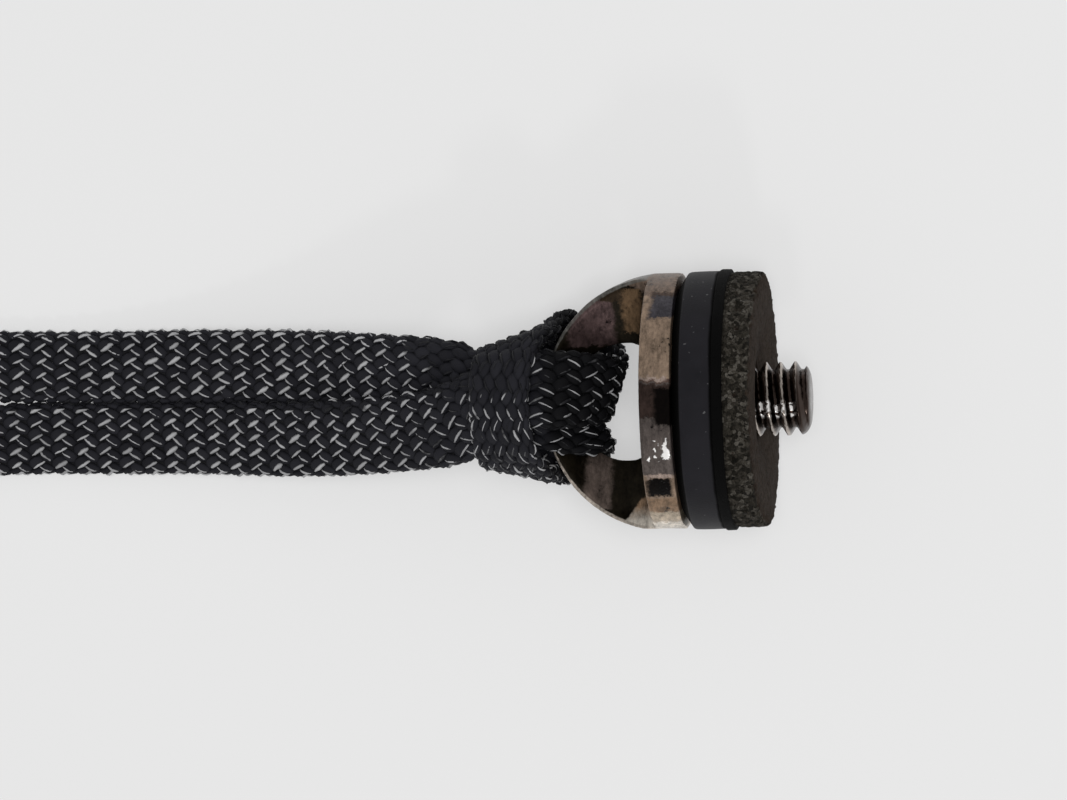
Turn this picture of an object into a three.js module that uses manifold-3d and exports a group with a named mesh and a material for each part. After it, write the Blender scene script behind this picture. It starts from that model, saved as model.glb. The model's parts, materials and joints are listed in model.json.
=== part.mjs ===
// Wrist strap for a hand-held thermal imager, lying on a table.
//
// A flat tubular braid makes one closed loop. Its middle is hitched round the
// half-round bail of a camera screw: a disc flange, a rubber washer, a cork grip
// pad and a 1/4"-20 stud. The two ends of the braid lap at the far end of the loop.
//
// Units are millimetres and +Z is up. +X runs from the loop to the stud, which is
// the axis of the screw. The origin is on the table, under the middle of the part.
import * as THREE from 'three';
import { mergeVertices } from 'three/addons/utils/BufferGeometryUtils.js';
import Module from 'manifold-3d';

const manifold = await Module();
manifold.setup();

// ---- Driving dimensions ----

// Gap kept between pieces that touch on the real strap.
const GAP = 0.3;

// The round stack on the screw axis. X is measured from the flange's bail side.
const FLANGE = { radius: 10.8, from: 0, to: 2.6 };
const WASHER = { radius: 11.05, lipRadius: 11.15, lipWidth: 0.8, lipStep: 0.1, chamfer: 0.75 };
const WASHER_FROM = FLANGE.to + GAP / 2;
const WASHER_TO = 6.8;
const PAD = { radius: 11, from: WASHER_TO + GAP / 2, to: 9.8, edgeRound: 0.7, boreMouth: 0.6 };
const ROUND_SIDES = 48;

// The bail: a half-round plate with a flared eye, cast with the flange.
const BAIL = { radius: 10.8, centreX: 1.5, halfThick: 2.62 };
// The eye is a D whose straight side lies on the flange: a round part of this
// radius and centre, and two round corners. It is narrowest at the plate's middle
// and flares to a mouth that leaves a thin land round each face.
const EYE_WAIST = { radius: 5.05, centreX: -2.35, corner: 2.4 };
const EYE_MOUTH = { radius: 10.4, centreX: 1.5, corner: 2.0 };
// The flare is a little hollow, so the strap bears on a rounded bar.
const EYE_FLARE_POWER = 1.25;
const EYE_OVERCUT = 0.5;
const EYE_ARC_SIDES = 20;
const EYE_CORNER_SIDES = 5;

// The 1/4"-20 stud and the blind hole that holds it in the flange.
const INCH = 25.4;
const STUD = { radius: INCH / 8, pitch: INCH / 20, tip: 13.5, foot: 1.0, shankRadius: 2.6 };
const THREAD_FROM = 8.3;
const THREAD_DEPTH = 0.62;
// Half a pitch runs from the middle of a crest, 0, to the middle of a root, 1. The
// thread is flat before the first share and after the second.
const THREAD_CREST_TO = 0.18;
const THREAD_ROOT_FROM = 0.78;
const THREAD_TIP_CHAMFER = 0.75;
const STUD_SIDES = 24;
const ROWS_PER_PITCH = 8;
const STUD_HOLE_RADIUS = STUD.radius + GAP;

// The braid, flat and unloaded.
const STRAP = { width: 6.8, thick: 1.8 };
// The wrist loop: a half circle of this radius, then two sides that run together.
const LOOP_RADIUS = 32;
const LOOP_CENTRE_X = -184;
const RUN_START_X = -62;
const RUN_Y = STRAP.width / 2 + GAP / 2;
// The share of each side, counted from the half circle, where it stands on edge.
const ON_EDGE_SHARE = 0.42;
const LAP_HALF_ANGLE = 20;
const LAP_BLEND_ANGLE = 25;
const LAP_OFFSET = STRAP.thick / 2 + 0.1;
// Rows along each side of the loop, and degrees between rows on its half circle.
const SIDE_ROWS = 12;
const ARC_DEGREES = 10;
// Sections are this far apart at most on the loop, and closer in the hitch.
const LOOP_STEP = 5.2;
const HITCH_STEP = 0.85;
const HITCH_START_X = -30;

// The part lies on the washer's lip, so the screw axis is this high.
const AXIS_HEIGHT = WASHER.lipRadius;
const LOOP_REACH = -LOOP_CENTRE_X + LOOP_RADIUS + LAP_OFFSET + STRAP.thick / 2;
const HEAD_X = (LOOP_REACH - STUD.tip) / 2;

// ---- The two legs of the hitch ----

// A leg is listed from the wrist loop to the middle of the collar, in the frame of
// the screw: the origin is on its axis at the flange. side points across the strap.
const LEG_COLUMNS = ['x', 'y', 'z', 'sideX', 'sideY', 'sideZ', 'width', 'thick'];

const table = (columns, rows) =>
  rows.map((cells) => Object.fromEntries(columns.map((name, i) => [name, cells[i]])));

// The front leg comes in as the lower run and lies over the back leg all the way.
const FRONT_LEG = table(LEG_COLUMNS, [
  [-54, -3.55, -10.0, 0, 1, 0, 6.8, 1.8],
  [-43, -3.5, -8.5, 0, 1, 0.02, 6.8, 1.8],
  [-33, -3.4, -5.1, 0, 1, 0.12, 6.9, 1.8],
  [-23, -2.0, -0.75, 0, 1, 0.27, 7.2, 1.8],
  [-17.5, -0.8, 2.1, 0, 1, 0.18, 7.3, 1.7],
  [-13.6, 0.6, 3.95, 0, 1, 0, 6.6, 1.6],
  [-10.9, 1.4, 4.9, 0, 1, -0.2, 6.0, 1.5],
  [-8.9, 1.85, 5.25, 0, 1, -0.35, 6.1, 1.5],
  [-6.6, 1.9, 4.05, -0.1, 1, -0.25, 6.1, 1.5],
  [-4.9, 1.75, 2.15, -0.1, 1, -0.1, 5.8, 1.5],
  [-4.25, 1.65, 0, -0.05, 1, 0, 5.5, 1.5],
  [-4.6, 2.1, -2.2, 0.35, 1, 0, 5.9, 1.5],
  [-6.2, 3.4, -4.45, 0.8, 1, 0, 6.2, 1.55],
  [-8.8, 5.0, -4.7, 1, 0.9, 0, 6.4, 1.6],
  [-10.6, 5.7, -2.7, 1, 0.5, 0, 6.5, 1.6],
  [-11.2, 5.4, 0.4, 1, 0.25, 0, 6.5, 1.6],
  [-11.8, 5.75, 3.7, 1, 0.12, 0.05, 6.1, 1.6],
  [-12.3, 4.1, 6.15, 1, 0.05, 0.2, 5.8, 1.6],
]);

// The back leg comes in as the upper run and ends as the lower turn.
const BACK_LEG = table(LEG_COLUMNS, [
  [-54, 3.55, -10.0, 0, 1, 0, 6.8, 1.8],
  [-43, 3.4, -8.5, 0, 1, 0.02, 6.8, 1.8],
  [-33, 3.25, -5.9, 0, 1, 0.12, 6.8, 1.8],
  [-23, 2.75, -1.9, 0, 1, 0.27, 6.7, 1.8],
  [-17.5, 2.15, 0.2, 0, 1, 0.18, 6.6, 1.7],
  [-13.6, 0.65, 1.8, 0, 1, 0, 6.4, 1.6],
  [-11.0, -0.3, 2.9, 0, 1, 0, 6.1, 1.5],
  [-9.1, -0.8, 3.72, -0.05, 1, 0, 5.8, 1.5],
  [-7.4, -1.3, 2.75, -0.2, 1, 0, 5.7, 1.5],
  [-6.0, -1.7, 1.5, -0.36, 1, 0, 5.7, 1.5],
  [-5.3, -1.85, 0, -0.5, 1, 0, 5.2, 1.5],
  [-5.75, -2.55, -1.9, -0.5, 1, 0, 5.7, 1.5],
  [-7.0, -3.3, -3.4, -0.7, 1, 0, 6.0, 1.5],
  [-9.2, -4.7, -4.0, -1, 0.85, 0, 6.2, 1.6],
  [-11.2, -5.5, -2.6, -1, 0.5, 0, 6.4, 1.6],
  [-11.9, -5.6, 0.3, -1, 0.27, 0, 6.5, 1.6],
  [-12.2, -4.7, 3.3, -1, 0.12, -0.05, 6.2, 1.6],
  [-12.4, -2.8, 5.9, -1, 0, -0.25, 5.8, 1.6],
]);

const COLLAR = table(LEG_COLUMNS, [[-12.5, 0.5, 6.85, -1, 0, -0.28, 5.6, 1.5]]);

// ---- Helpers ----

/** A closed mesh, ready for cutting and joining. */
function solidOf(geometry) {
  const bare = geometry.index ? geometry.clone() : geometry;
  bare.deleteAttribute('normal');
  bare.deleteAttribute('uv');
  const merged = mergeVertices(bare, 1e-5);
  return new manifold.Manifold(
    new manifold.Mesh({
      numProp: 3,
      vertProperties: new Float32Array(merged.attributes.position.array),
      triVerts: new Uint32Array(merged.index.array),
    }),
  );
}

/** The geometry of a solid that has been cut or joined. */
function geometryOf(solid) {
  const mesh = solid.getMesh();
  const geometry = new THREE.BufferGeometry();
  geometry.setAttribute('position', new THREE.BufferAttribute(mesh.vertProperties, 3));
  geometry.setIndex(new THREE.BufferAttribute(mesh.triVerts, 1));
  return geometry;
}

/**
 * A closed skin over a pile of rings: a cylinder whose wall points are moved.
 * pointAt(row, k) gives corner k of a ring; the end caps close on their ring's middle.
 */
function skin(rowCount, sides, pointAt) {
  const geometry = new THREE.CylinderGeometry(1, 1, 1, sides, rowCount - 1);
  const position = geometry.attributes.position;
  const middleOf = (row) => {
    const middle = new THREE.Vector3();
    for (let k = 0; k < sides; k++) middle.addScaledVector(pointAt(row, k), 1 / sides);
    return middle;
  };
  for (let i = 0; i < position.count; i++) {
    const [x, y, z] = [position.getX(i), position.getY(i), position.getZ(i)];
    const row = Math.round((0.5 - y) * (rowCount - 1));
    const turn = Math.atan2(x, z) / (2 * Math.PI) + 1;
    const k = Math.round(turn * sides) % sides;
    const point = Math.hypot(x, z) < 0.5 ? middleOf(row) : pointAt(row, k);
    position.setXYZ(i, point.x, point.y, point.z);
  }
  return geometry;
}

/** A ring turned about the screw axis; each profile point is [x, radius]. */
function turned(profile, sides) {
  const outline = profile.map(([x, radius]) => new THREE.Vector2(radius, x));
  const geometry = new THREE.LatheGeometry([...outline, outline[0]].reverse(), sides);
  // A lathe turns about Y, so a quarter turn lays it along X.
  return geometry.rotateZ(-Math.PI / 2);
}

/** A round bar along the screw axis. */
function bar(radius, from, to, sides) {
  const geometry = new THREE.CylinderGeometry(radius, radius, to - from, sides);
  return geometry.rotateZ(-Math.PI / 2).translate((from + to) / 2, 0, 0);
}

const smooth = (t) => THREE.MathUtils.smoothstep(t, 0, 1);

// ---- The screw head ----

/** Outline of the eye as a D, anticlockwise from the top of its round part. */
function eyeOutline({ radius, centreX, corner }) {
  const cornerY = Math.sqrt((radius - corner) ** 2 - (centreX + corner) ** 2);
  const meetAngle = Math.atan2(cornerY, -corner - centreX);
  const points = [];
  const arc = (x, y, size, from, to, sides) => {
    for (let i = 0; i < sides; i++) {
      const angle = THREE.MathUtils.lerp(from, to, i / sides);
      points.push(new THREE.Vector2(x + size * Math.cos(angle), y + size * Math.sin(angle)));
    }
  };
  const whole = 2 * Math.PI;
  arc(centreX, 0, radius, meetAngle, whole - meetAngle, EYE_ARC_SIDES);
  arc(-corner, -cornerY, corner, whole - meetAngle, whole, EYE_CORNER_SIDES);
  points.push(new THREE.Vector2(0, -cornerY));
  arc(-corner, cornerY, corner, 0, meetAngle, EYE_CORNER_SIDES);
  return points;
}

/** The flared eye: widest outside both faces, narrowest at the plate's middle. */
function eyeCutter() {
  const waist = eyeOutline(EYE_WAIST);
  const mouth = eyeOutline(EYE_MOUTH);
  const reachOut = (BAIL.halfThick + EYE_OVERCUT) / BAIL.halfThick;
  const levels = [reachOut, 1, 0.5, 0, -0.5, -1, -reachOut];
  const spread = (level) => Math.abs(level) ** EYE_FLARE_POWER;
  return skin(levels.length, waist.length, (row, k) => {
    const level = levels[row];
    const flat = waist[k].clone().lerp(mouth[k], spread(level));
    return new THREE.Vector3(flat.x, flat.y, level * BAIL.halfThick);
  });
}

function bailRing() {
  const plate = new THREE.Shape();
  plate.absarc(BAIL.centreX, 0, BAIL.radius, Math.PI / 2, (3 * Math.PI) / 2, false);
  plate.closePath();
  const extruded = new THREE.ExtrudeGeometry(plate, {
    depth: 2 * BAIL.halfThick,
    bevelEnabled: false,
    curveSegments: ROUND_SIDES / 2,
  }).translate(0, 0, -BAIL.halfThick);
  const flange = bar(FLANGE.radius, FLANGE.from, FLANGE.to, ROUND_SIDES);
  // The plate's corners are turned down to the flange's round.
  const round = bar(FLANGE.radius, BAIL.centreX - 2 * BAIL.radius, FLANGE.to, ROUND_SIDES);
  const hole = bar(STUD.shankRadius + GAP, STUD.foot - GAP, FLANGE.to + 1, STUD_SIDES);
  const halfPlate = solidOf(extruded).intersect(solidOf(round));
  const casting = halfPlate.subtract(solidOf(eyeCutter())).add(solidOf(flange));
  return geometryOf(casting.subtract(solidOf(hole)));
}

/** Height of the thread above its root at a share of the pitch, from 0 to 1. */
function threadRise(share) {
  const fromCrest = Math.abs(share - 0.5) * 2;
  const slope = (THREAD_ROOT_FROM - fromCrest) / (THREAD_ROOT_FROM - THREAD_CREST_TO);
  return THREE.MathUtils.clamp(slope, 0, 1);
}

function threadStud() {
  const length = STUD.tip - THREAD_FROM;
  const rows = Math.round((length / STUD.pitch) * ROWS_PER_PITCH) + 1;
  const thread = skin(rows, STUD_SIDES, (row, k) => {
    const x = STUD.tip - (length * row) / (rows - 1);
    const angle = (2 * Math.PI * k) / STUD_SIDES;
    const turns = x / STUD.pitch - k / STUD_SIDES;
    const rise = threadRise(turns - Math.floor(turns));
    const crest = STUD.radius - THREAD_DEPTH * (1 - rise);
    const tipLimit = STUD.radius - THREAD_TIP_CHAMFER + (STUD.tip - x);
    const radius = Math.min(crest, tipLimit);
    return new THREE.Vector3(x, -radius * Math.sin(angle), radius * Math.cos(angle));
  });
  const shank = bar(STUD.shankRadius, STUD.foot, THREAD_FROM + STUD.pitch, STUD_SIDES);
  return geometryOf(solidOf(thread).add(solidOf(shank)));
}

function rubberWasher() {
  const { radius, lipRadius, lipWidth, lipStep, chamfer } = WASHER;
  const lipFrom = WASHER_TO - lipWidth;
  return turned([
    [WASHER_FROM, STUD_HOLE_RADIUS],
    [WASHER_TO, STUD_HOLE_RADIUS],
    [WASHER_TO, lipRadius],
    [lipFrom, lipRadius],
    [lipFrom - lipStep, radius],
    [WASHER_FROM + chamfer, radius],
    [WASHER_FROM, radius - chamfer],
  ], ROUND_SIDES);
}

function corkPad() {
  const { radius, from, to, edgeRound, boreMouth } = PAD;
  const edge = [90, 60, 30, 0].map((degrees) => {
    const angle = THREE.MathUtils.degToRad(degrees);
    const x = to - edgeRound + edgeRound * Math.sin(angle);
    return [x, radius - edgeRound + edgeRound * Math.cos(angle)];
  });
  const bore = [[from, STUD_HOLE_RADIUS], [to - boreMouth, STUD_HOLE_RADIUS]];
  const mouth = [to, STUD_HOLE_RADIUS + boreMouth];
  return turned([...bore, mouth, ...edge, [from, radius]], ROUND_SIDES);
}

// ---- The strap ----

/** The part of a strand on the table, from its lapped end to the start of its leg. */
function loopRows(ySign, lapOffset) {
  const { width, thick } = STRAP;
  const row = (x, y, leanDegrees) => {
    const lean = THREE.MathUtils.degToRad(leanDegrees);
    const rest = ((width - thick) / 2) * Math.sin(lean) + thick / 2;
    const [sideX, sideY, sideZ] = [0, Math.cos(lean), ySign * Math.sin(lean)];
    return { x, y, z: rest - AXIS_HEIGHT, sideX, sideY, sideZ, width, thick };
  };
  const rows = [];
  for (let degrees = -LAP_HALF_ANGLE; degrees <= 90; degrees += ARC_DEGREES) {
    const angle = THREE.MathUtils.degToRad(degrees);
    const blend = smooth((degrees - LAP_HALF_ANGLE) / LAP_BLEND_ANGLE);
    const radius = LOOP_RADIUS + lapOffset * (1 - blend);
    const x = LOOP_CENTRE_X - radius * Math.cos(angle);
    rows.push(row(x, ySign * radius * Math.sin(angle), 90));
  }
  for (let i = 1; i <= SIDE_ROWS; i++) {
    const share = i / SIDE_ROWS;
    const x = THREE.MathUtils.lerp(LOOP_CENTRE_X, RUN_START_X, share);
    const y = THREE.MathUtils.lerp(LOOP_RADIUS, RUN_Y, smooth(share));
    const twist = smooth((share - ON_EDGE_SHARE) / (1 - ON_EDGE_SHARE));
    rows.push(row(x, ySign * y, 90 * (1 - twist)));
  }
  return rows;
}

/** The same strand walked the other way, with the same face still outward. */
function reversed(rows) {
  return rows.slice().reverse().map((row) => ({
    ...row, sideX: -row.sideX, sideY: -row.sideY, sideZ: -row.sideZ,
  }));
}

/** Sections along the strap: smooth curves through the rows, closer in the hitch. */
function strapStations(rows) {
  const curve = (kind, ...names) => new THREE.CatmullRomCurve3(
    rows.map((row) => new THREE.Vector3(...names.map((name) => row[name]))), false, kind);
  const centre = curve('centripetal', 'x', 'y', 'z');
  const side = curve('catmullrom', 'sideX', 'sideY', 'sideZ');
  const last = rows.length - 1;
  const stations = [];
  const add = (t) => {
    const i = Math.min(Math.floor(t * last), last - 1);
    const share = t * last - i;
    const tangent = centre.getTangent(t);
    const across = side.getPoint(t);
    across.addScaledVector(tangent, -across.dot(tangent)).normalize();
    stations.push({
      at: centre.getPoint(t),
      across,
      up: new THREE.Vector3().crossVectors(tangent, across),
      halfWidth: THREE.MathUtils.lerp(rows[i].width, rows[i + 1].width, share) / 2,
      halfThick: THREE.MathUtils.lerp(rows[i].thick, rows[i + 1].thick, share) / 2,
    });
  };
  for (let i = 0; i < last; i++) {
    const [a, b] = [rows[i], rows[i + 1]];
    const length = Math.hypot(b.x - a.x, b.y - a.y, b.z - a.z);
    const inHitch = Math.min(a.x, b.x) > HITCH_START_X;
    const steps = Math.ceil(length / (inHitch ? HITCH_STEP : LOOP_STEP));
    for (let s = 0; s < steps; s++) add((i + s / steps) / last);
  }
  add(1);
  return stations;
}

/** Corners of the flat tube's section, as [across, up] shares, once round. */
function sectionCorners(halfWidth, halfThick) {
  const straight = halfWidth - halfThick;
  const corners = [];
  for (const end of [1, -1]) {
    for (const degrees of [90, 45, 0, -45, -90]) {
      const angle = THREE.MathUtils.degToRad(degrees);
      const across = end * (straight + halfThick * Math.cos(angle));
      corners.push([across, end * halfThick * Math.sin(angle)]);
    }
    corners.push([0, -end * halfThick]);
  }
  return corners;
}

function strap() {
  const front = [...loopRows(-1, LAP_OFFSET), ...FRONT_LEG];
  const back = [...loopRows(1, -LAP_OFFSET), ...BACK_LEG];
  const stations = strapStations([...back, ...COLLAR, ...reversed(front)]);
  const rings = stations.map(({ at, across, up, halfWidth, halfThick }) =>
    sectionCorners(halfWidth, halfThick).map(([a, u]) =>
      at.clone().addScaledVector(across, a).addScaledVector(up, u)));
  return skin(rings.length, rings[0].length, (row, k) => rings[row][k]);
}

// ---- The whole part ----

const head = new THREE.Group();
head.position.set(HEAD_X, 0, AXIS_HEIGHT);

function piece(name, geometry, color, roughness, metalness) {
  const material = new THREE.MeshStandardMaterial({ color, roughness, metalness });
  const mesh = new THREE.Mesh(geometry, material);
  mesh.name = name;
  head.add(mesh);
}

piece('bail_ring', bailRing(), 0x6a5d57, 0.3, 1.0);
piece('thread_stud', threadStud(), 0x4a423d, 0.3, 1.0);
piece('rubber_washer', rubberWasher(), 0x2a2a2c, 0.65, 0.0);
piece('grip_pad', corkPad(), 0x35302b, 0.95, 0.0);
piece('braided_strap', strap(), 0x1c1d21, 0.85, 0.0);

const group = new THREE.Group();
group.add(head);

export default group;
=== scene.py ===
# %% [markdown]
# # Wrist strap on a camera screw
#
# A black braided strap is hitched round the bail of a short camera screw. The screw has a
# dark plated fitting, a rubber washer, a cork grip pad and a stud with a 1/4 inch thread.
# This lesson dresses the imported model: it makes each piece again with fine detail, gives
# every surface its finish, and lights it as on a table.
#
# The imported model is the fixed frame. Its boxes say where the head lies, and every new
# piece is drawn from there.

# %% Load the frame
import bmesh
import bpy
import json
import math
import numpy as np
from mathutils import Matrix, Vector, noise

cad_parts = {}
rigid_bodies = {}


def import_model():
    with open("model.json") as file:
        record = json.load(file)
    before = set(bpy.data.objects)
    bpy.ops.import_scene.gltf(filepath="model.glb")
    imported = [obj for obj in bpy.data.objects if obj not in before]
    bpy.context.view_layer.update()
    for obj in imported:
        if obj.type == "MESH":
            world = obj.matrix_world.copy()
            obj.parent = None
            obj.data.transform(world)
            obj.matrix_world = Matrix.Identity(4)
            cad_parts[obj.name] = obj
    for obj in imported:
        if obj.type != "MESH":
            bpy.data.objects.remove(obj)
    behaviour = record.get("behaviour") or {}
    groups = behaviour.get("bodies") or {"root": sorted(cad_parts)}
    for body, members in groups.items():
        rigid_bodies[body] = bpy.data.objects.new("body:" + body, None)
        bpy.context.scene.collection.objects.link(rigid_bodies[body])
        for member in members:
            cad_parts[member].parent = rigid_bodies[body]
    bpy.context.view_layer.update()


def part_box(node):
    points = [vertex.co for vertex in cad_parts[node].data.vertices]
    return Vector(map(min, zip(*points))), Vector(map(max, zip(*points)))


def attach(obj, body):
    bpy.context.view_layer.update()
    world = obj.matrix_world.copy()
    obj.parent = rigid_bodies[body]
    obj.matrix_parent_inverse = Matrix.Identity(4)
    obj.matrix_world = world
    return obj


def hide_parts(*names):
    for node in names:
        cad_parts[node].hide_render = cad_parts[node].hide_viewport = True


for leftover in list(bpy.data.objects):
    bpy.data.objects.remove(leftover)
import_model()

# %% [markdown]
# The hard pieces are all round the screw's axis, so they are easiest to draw in millimetres
# with X along that axis, starting at the flange. `HEAD` is that point in the frame. The
# washer's box gives the height of the axis, and the pad's outer face gives X.

# %% The head's own millimetres
MM = 0.001
PAD_FACE = 9.8
lip_low, lip_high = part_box("rubber_washer")
HEAD = Vector((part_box("grip_pad")[1].x - PAD_FACE * MM, 0.0, (lip_low.z + lip_high.z) / 2))
HEAD_TO_FRAME = Matrix.Translation(HEAD) @ Matrix.Scale(MM, 4)
print("head origin in mm:", [round(value * 1000, 2) for value in HEAD])

# %% [markdown]
# ## Shader sums
#
# A material is a tree of nodes. Written node by node it is long and hard to read, so a
# `Wire` wraps one output of a node and takes part in plain Python sums: `1 - mask` adds
# the Math node for it.

# %% Wires
class Wire:
    """One output of a shader node, which sums and products can be written with."""

    def __init__(self, recipe, socket):
        self.recipe, self.socket = recipe, socket

    def _math(self, operation, first, second):
        return self.recipe.add("Math", {"operation": operation}, {0: first, 1: second})

    def __add__(self, other):
        return self._math("ADD", self, other)

    def __sub__(self, other):
        return self._math("SUBTRACT", self, other)

    def __rsub__(self, other):
        return self._math("SUBTRACT", other, self)

    def __mul__(self, other):
        return self._math("MULTIPLY", self, other)

    def __pow__(self, other):
        return self._math("POWER", self, other)

    __radd__ = __add__
    __rmul__ = __mul__


# %% [markdown]
# A `Recipe` is one material. Its `add` method makes any other node: first its settings,
# then the values or wires of its sockets. The other methods are the few shapes of sum that
# every finish here is made of: clouds of noise, soft steps, mixed colours and bumps.

# %% Recipes
class Recipe:
    """The nodes of one material. Constants are set on the shader's own sockets."""

    def __init__(self, name, **constants):
        self.material = bpy.data.materials.new(name)
        self.material.use_nodes = True
        self.tree = self.material.node_tree
        self.shader = self.tree.nodes["Principled BSDF"]
        for socket, value in constants.items():
            self.shader.inputs[socket.replace("_", " ")].default_value = value

    def add(self, kind, settings=None, sockets=None, output=0):
        node = self.tree.nodes.new("ShaderNode" + kind)
        for name, value in (settings or {}).items():
            if name == "stops":
                self._set_stops(node.color_ramp, value)
            else:
                setattr(node, name, value)
        for key, value in (sockets or {}).items():
            if isinstance(value, Wire):
                self.tree.links.new(value.socket, node.inputs[key])
            else:
                node.inputs[key].default_value = value
        return Wire(self, node.outputs[output])

    @staticmethod
    def _set_stops(ramp, stops):
        while len(ramp.elements) < len(stops):
            ramp.elements.new(1.0)
        for element, (position, colour) in zip(ramp.elements, stops):
            element.position, element.color = position, (*colour, 1.0)

    def feed(self, **wires):
        for socket, wire in wires.items():
            self.tree.links.new(wire.socket, self.shader.inputs[socket.replace("_", " ")])

    def head_point(self):
        """Object coordinates, in the head's own millimetres."""
        place = self.add("TexCoord", output="Object")
        return self.add("Mapping", {}, {
            "Vector": place, "Location": -HEAD / MM, "Scale": (1 / MM,) * 3})

    def split(self, vector):
        """The three numbers of a vector."""
        return [self.add("SeparateXYZ", {}, {0: vector}, output=i) for i in range(3)]

    def grain(self, point, size, detail=2.0, roughness=0.5, stretch=(1, 1, 1)):
        """Cloudy noise from 0 to 1, whose clouds are about size across."""
        scaled = self.add("VectorMath", {"operation": "MULTIPLY"}, {
            0: point, 1: [1 / (size * side) for side in stretch]})
        return self.add("TexNoise", {}, {
            "Vector": scaled, "Scale": 1.0, "Detail": detail, "Roughness": roughness})

    def step(self, value, low, high):
        """0 under low, 1 over high, and a smooth slope between them."""
        return self.add("MapRange", {"interpolation_type": "SMOOTHSTEP"}, {
            "Value": value, "From Min": low, "From Max": high})

    def between(self, value, low, high, border):
        """1 from low to high and 0 outside, with a smooth border on both sides."""
        inside = self.step(value, low - border, low + border)
        return inside * (1 - self.step(value, high - border, high + border))

    def mixed(self, share, first, second):
        """The first colour, going over to the second as share goes from 0 to 1."""
        colours = [c if isinstance(c, Wire) else (*c, 1.0) for c in (first, second)]
        return self.add("Mix", {"data_type": "RGBA"}, {
            0: share, 6: colours[0], 7: colours[1]}, output=2)

    def bump(self, height, depth_mm, strength=1.0):
        return self.add("Bump", {}, {
            "Height": height, "Distance": depth_mm * MM, "Strength": strength})


# %% [markdown]
# ## From a bmesh to a piece
#
# Every new piece ends the same way: its mesh gets its place, becomes an object at the
# origin, takes a material, rides on the body called root and stands for its CAD node.

# %% Finishing a piece
BODY = "root"


def link_object(name, mesh):
    piece = bpy.data.objects.new(name, mesh)
    bpy.context.scene.collection.objects.link(piece)
    return piece


def object_from(bm, name):
    """An object from a bmesh drawn in the head's millimetres."""
    bmesh.ops.transform(bm, matrix=HEAD_TO_FRAME, verts=bm.verts)
    mesh = bpy.data.meshes.new(name)
    bm.to_mesh(mesh)
    bm.free()
    return link_object(name, mesh)


def finish_piece(piece, node, recipes, sharp_degrees=180):
    """Smooth shading, materials, the body that it rides on and the node it stands for."""
    piece.data.shade_smooth()
    if sharp_degrees < 180:
        piece.data.set_sharp_from_angle(angle=math.radians(sharp_degrees))
    for recipe in recipes:
        piece.data.materials.append(recipe.material)
    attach(piece, BODY)
    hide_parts(node)
    triangles = sum(len(face.vertices) - 2 for face in piece.data.polygons)
    print(piece.name, "triangles:", triangles)
    return piece


# %% [markdown]
# Two shapes come back again and again. A turned part is a profile spun round the axis. A
# rolled sheet is a flat grid whose points are moved so that it becomes a tube: a thread, a
# strap's core and the cutter for the eye are all rolled sheets.

# %% Turned parts and rolled sheets
def turned(profile, steps):
    """Spins a closed profile of (x, radius) points round the X axis."""
    bm = bmesh.new()
    points = [bm.verts.new((x, 0.0, radius)) for x, radius in profile]
    edges = [bm.edges.new((points[i - 1], points[i])) for i in range(len(points))]
    bmesh.ops.spin(bm, geom=points + edges, cent=(0, 0, 0), axis=(1, 0, 0),
                   angle=2 * math.pi, steps=steps, use_merge=True)
    bmesh.ops.remove_doubles(bm, verts=bm.verts, dist=1e-4)
    bmesh.ops.recalc_face_normals(bm, faces=bm.faces)
    return bm


def rolled(rows, sides, point_at):
    """Rolls a grid into a closed tube. point_at gives the place of each corner."""
    bm = bmesh.new()
    bmesh.ops.create_grid(bm, x_segments=rows - 1, y_segments=sides, size=0.5)
    for vert in bm.verts:
        row = round((vert.co.x + 0.5) * (rows - 1))
        vert.co = point_at(row, round((vert.co.y + 0.5) * sides) % sides)
    bmesh.ops.remove_doubles(bm, verts=bm.verts, dist=1e-5)
    bmesh.ops.holes_fill(bm, edges=[e for e in bm.edges if e.is_boundary])
    bmesh.ops.recalc_face_normals(bm, faces=bm.faces)
    return bm


def rounded_corner(x, radius, size, start_degrees, steps=3):
    """Points round a corner of a profile, a quarter turn from start_degrees."""
    angles = [math.radians(start_degrees - 90 * i / steps) for i in range(steps + 1)]
    return [(x + size * math.sin(a), radius + size * math.cos(a)) for a in angles]


# %% [markdown]
# ## The bail and its flange
#
# The real fitting is a die casting: a round flange with a half-round plate standing on it,
# and a flared eye through the plate. It is built from four simple solids: the plate, a
# round bar for the flange, a cutter for the eye and a bar for the stud's hole.

# %% Sizes of the fitting
FLANGE_RADIUS = 11.03
FLANGE_THICK = 2.6
PLATE_CENTRE_X = 1.5
PLATE_REACH = 10.85
PLATE_POWER = 2.08
PLATE_HALF_THICK = 2.62
EYE_WAIST = {"radius": 5.05, "centre_x": -2.35, "corner": 2.4}
EYE_MOUTH = {"radius": 10.55, "centre_x": 1.5, "corner": 2.0}
EYE_FLARE_POWER = 1.25
BORE_RADIUS = 2.9
BORE_FROM = 0.7
print("flange across in mm:", 2 * FLANGE_RADIUS)

# %% [markdown]
# The plate is half of a short drum with fuller shoulders than a circle has. The eye's
# cutter is a rolled sheet with a D at each level: small in the plate's middle, and large at
# both its faces. A straight hole would be easier, but its edges would cut the strap.

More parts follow.
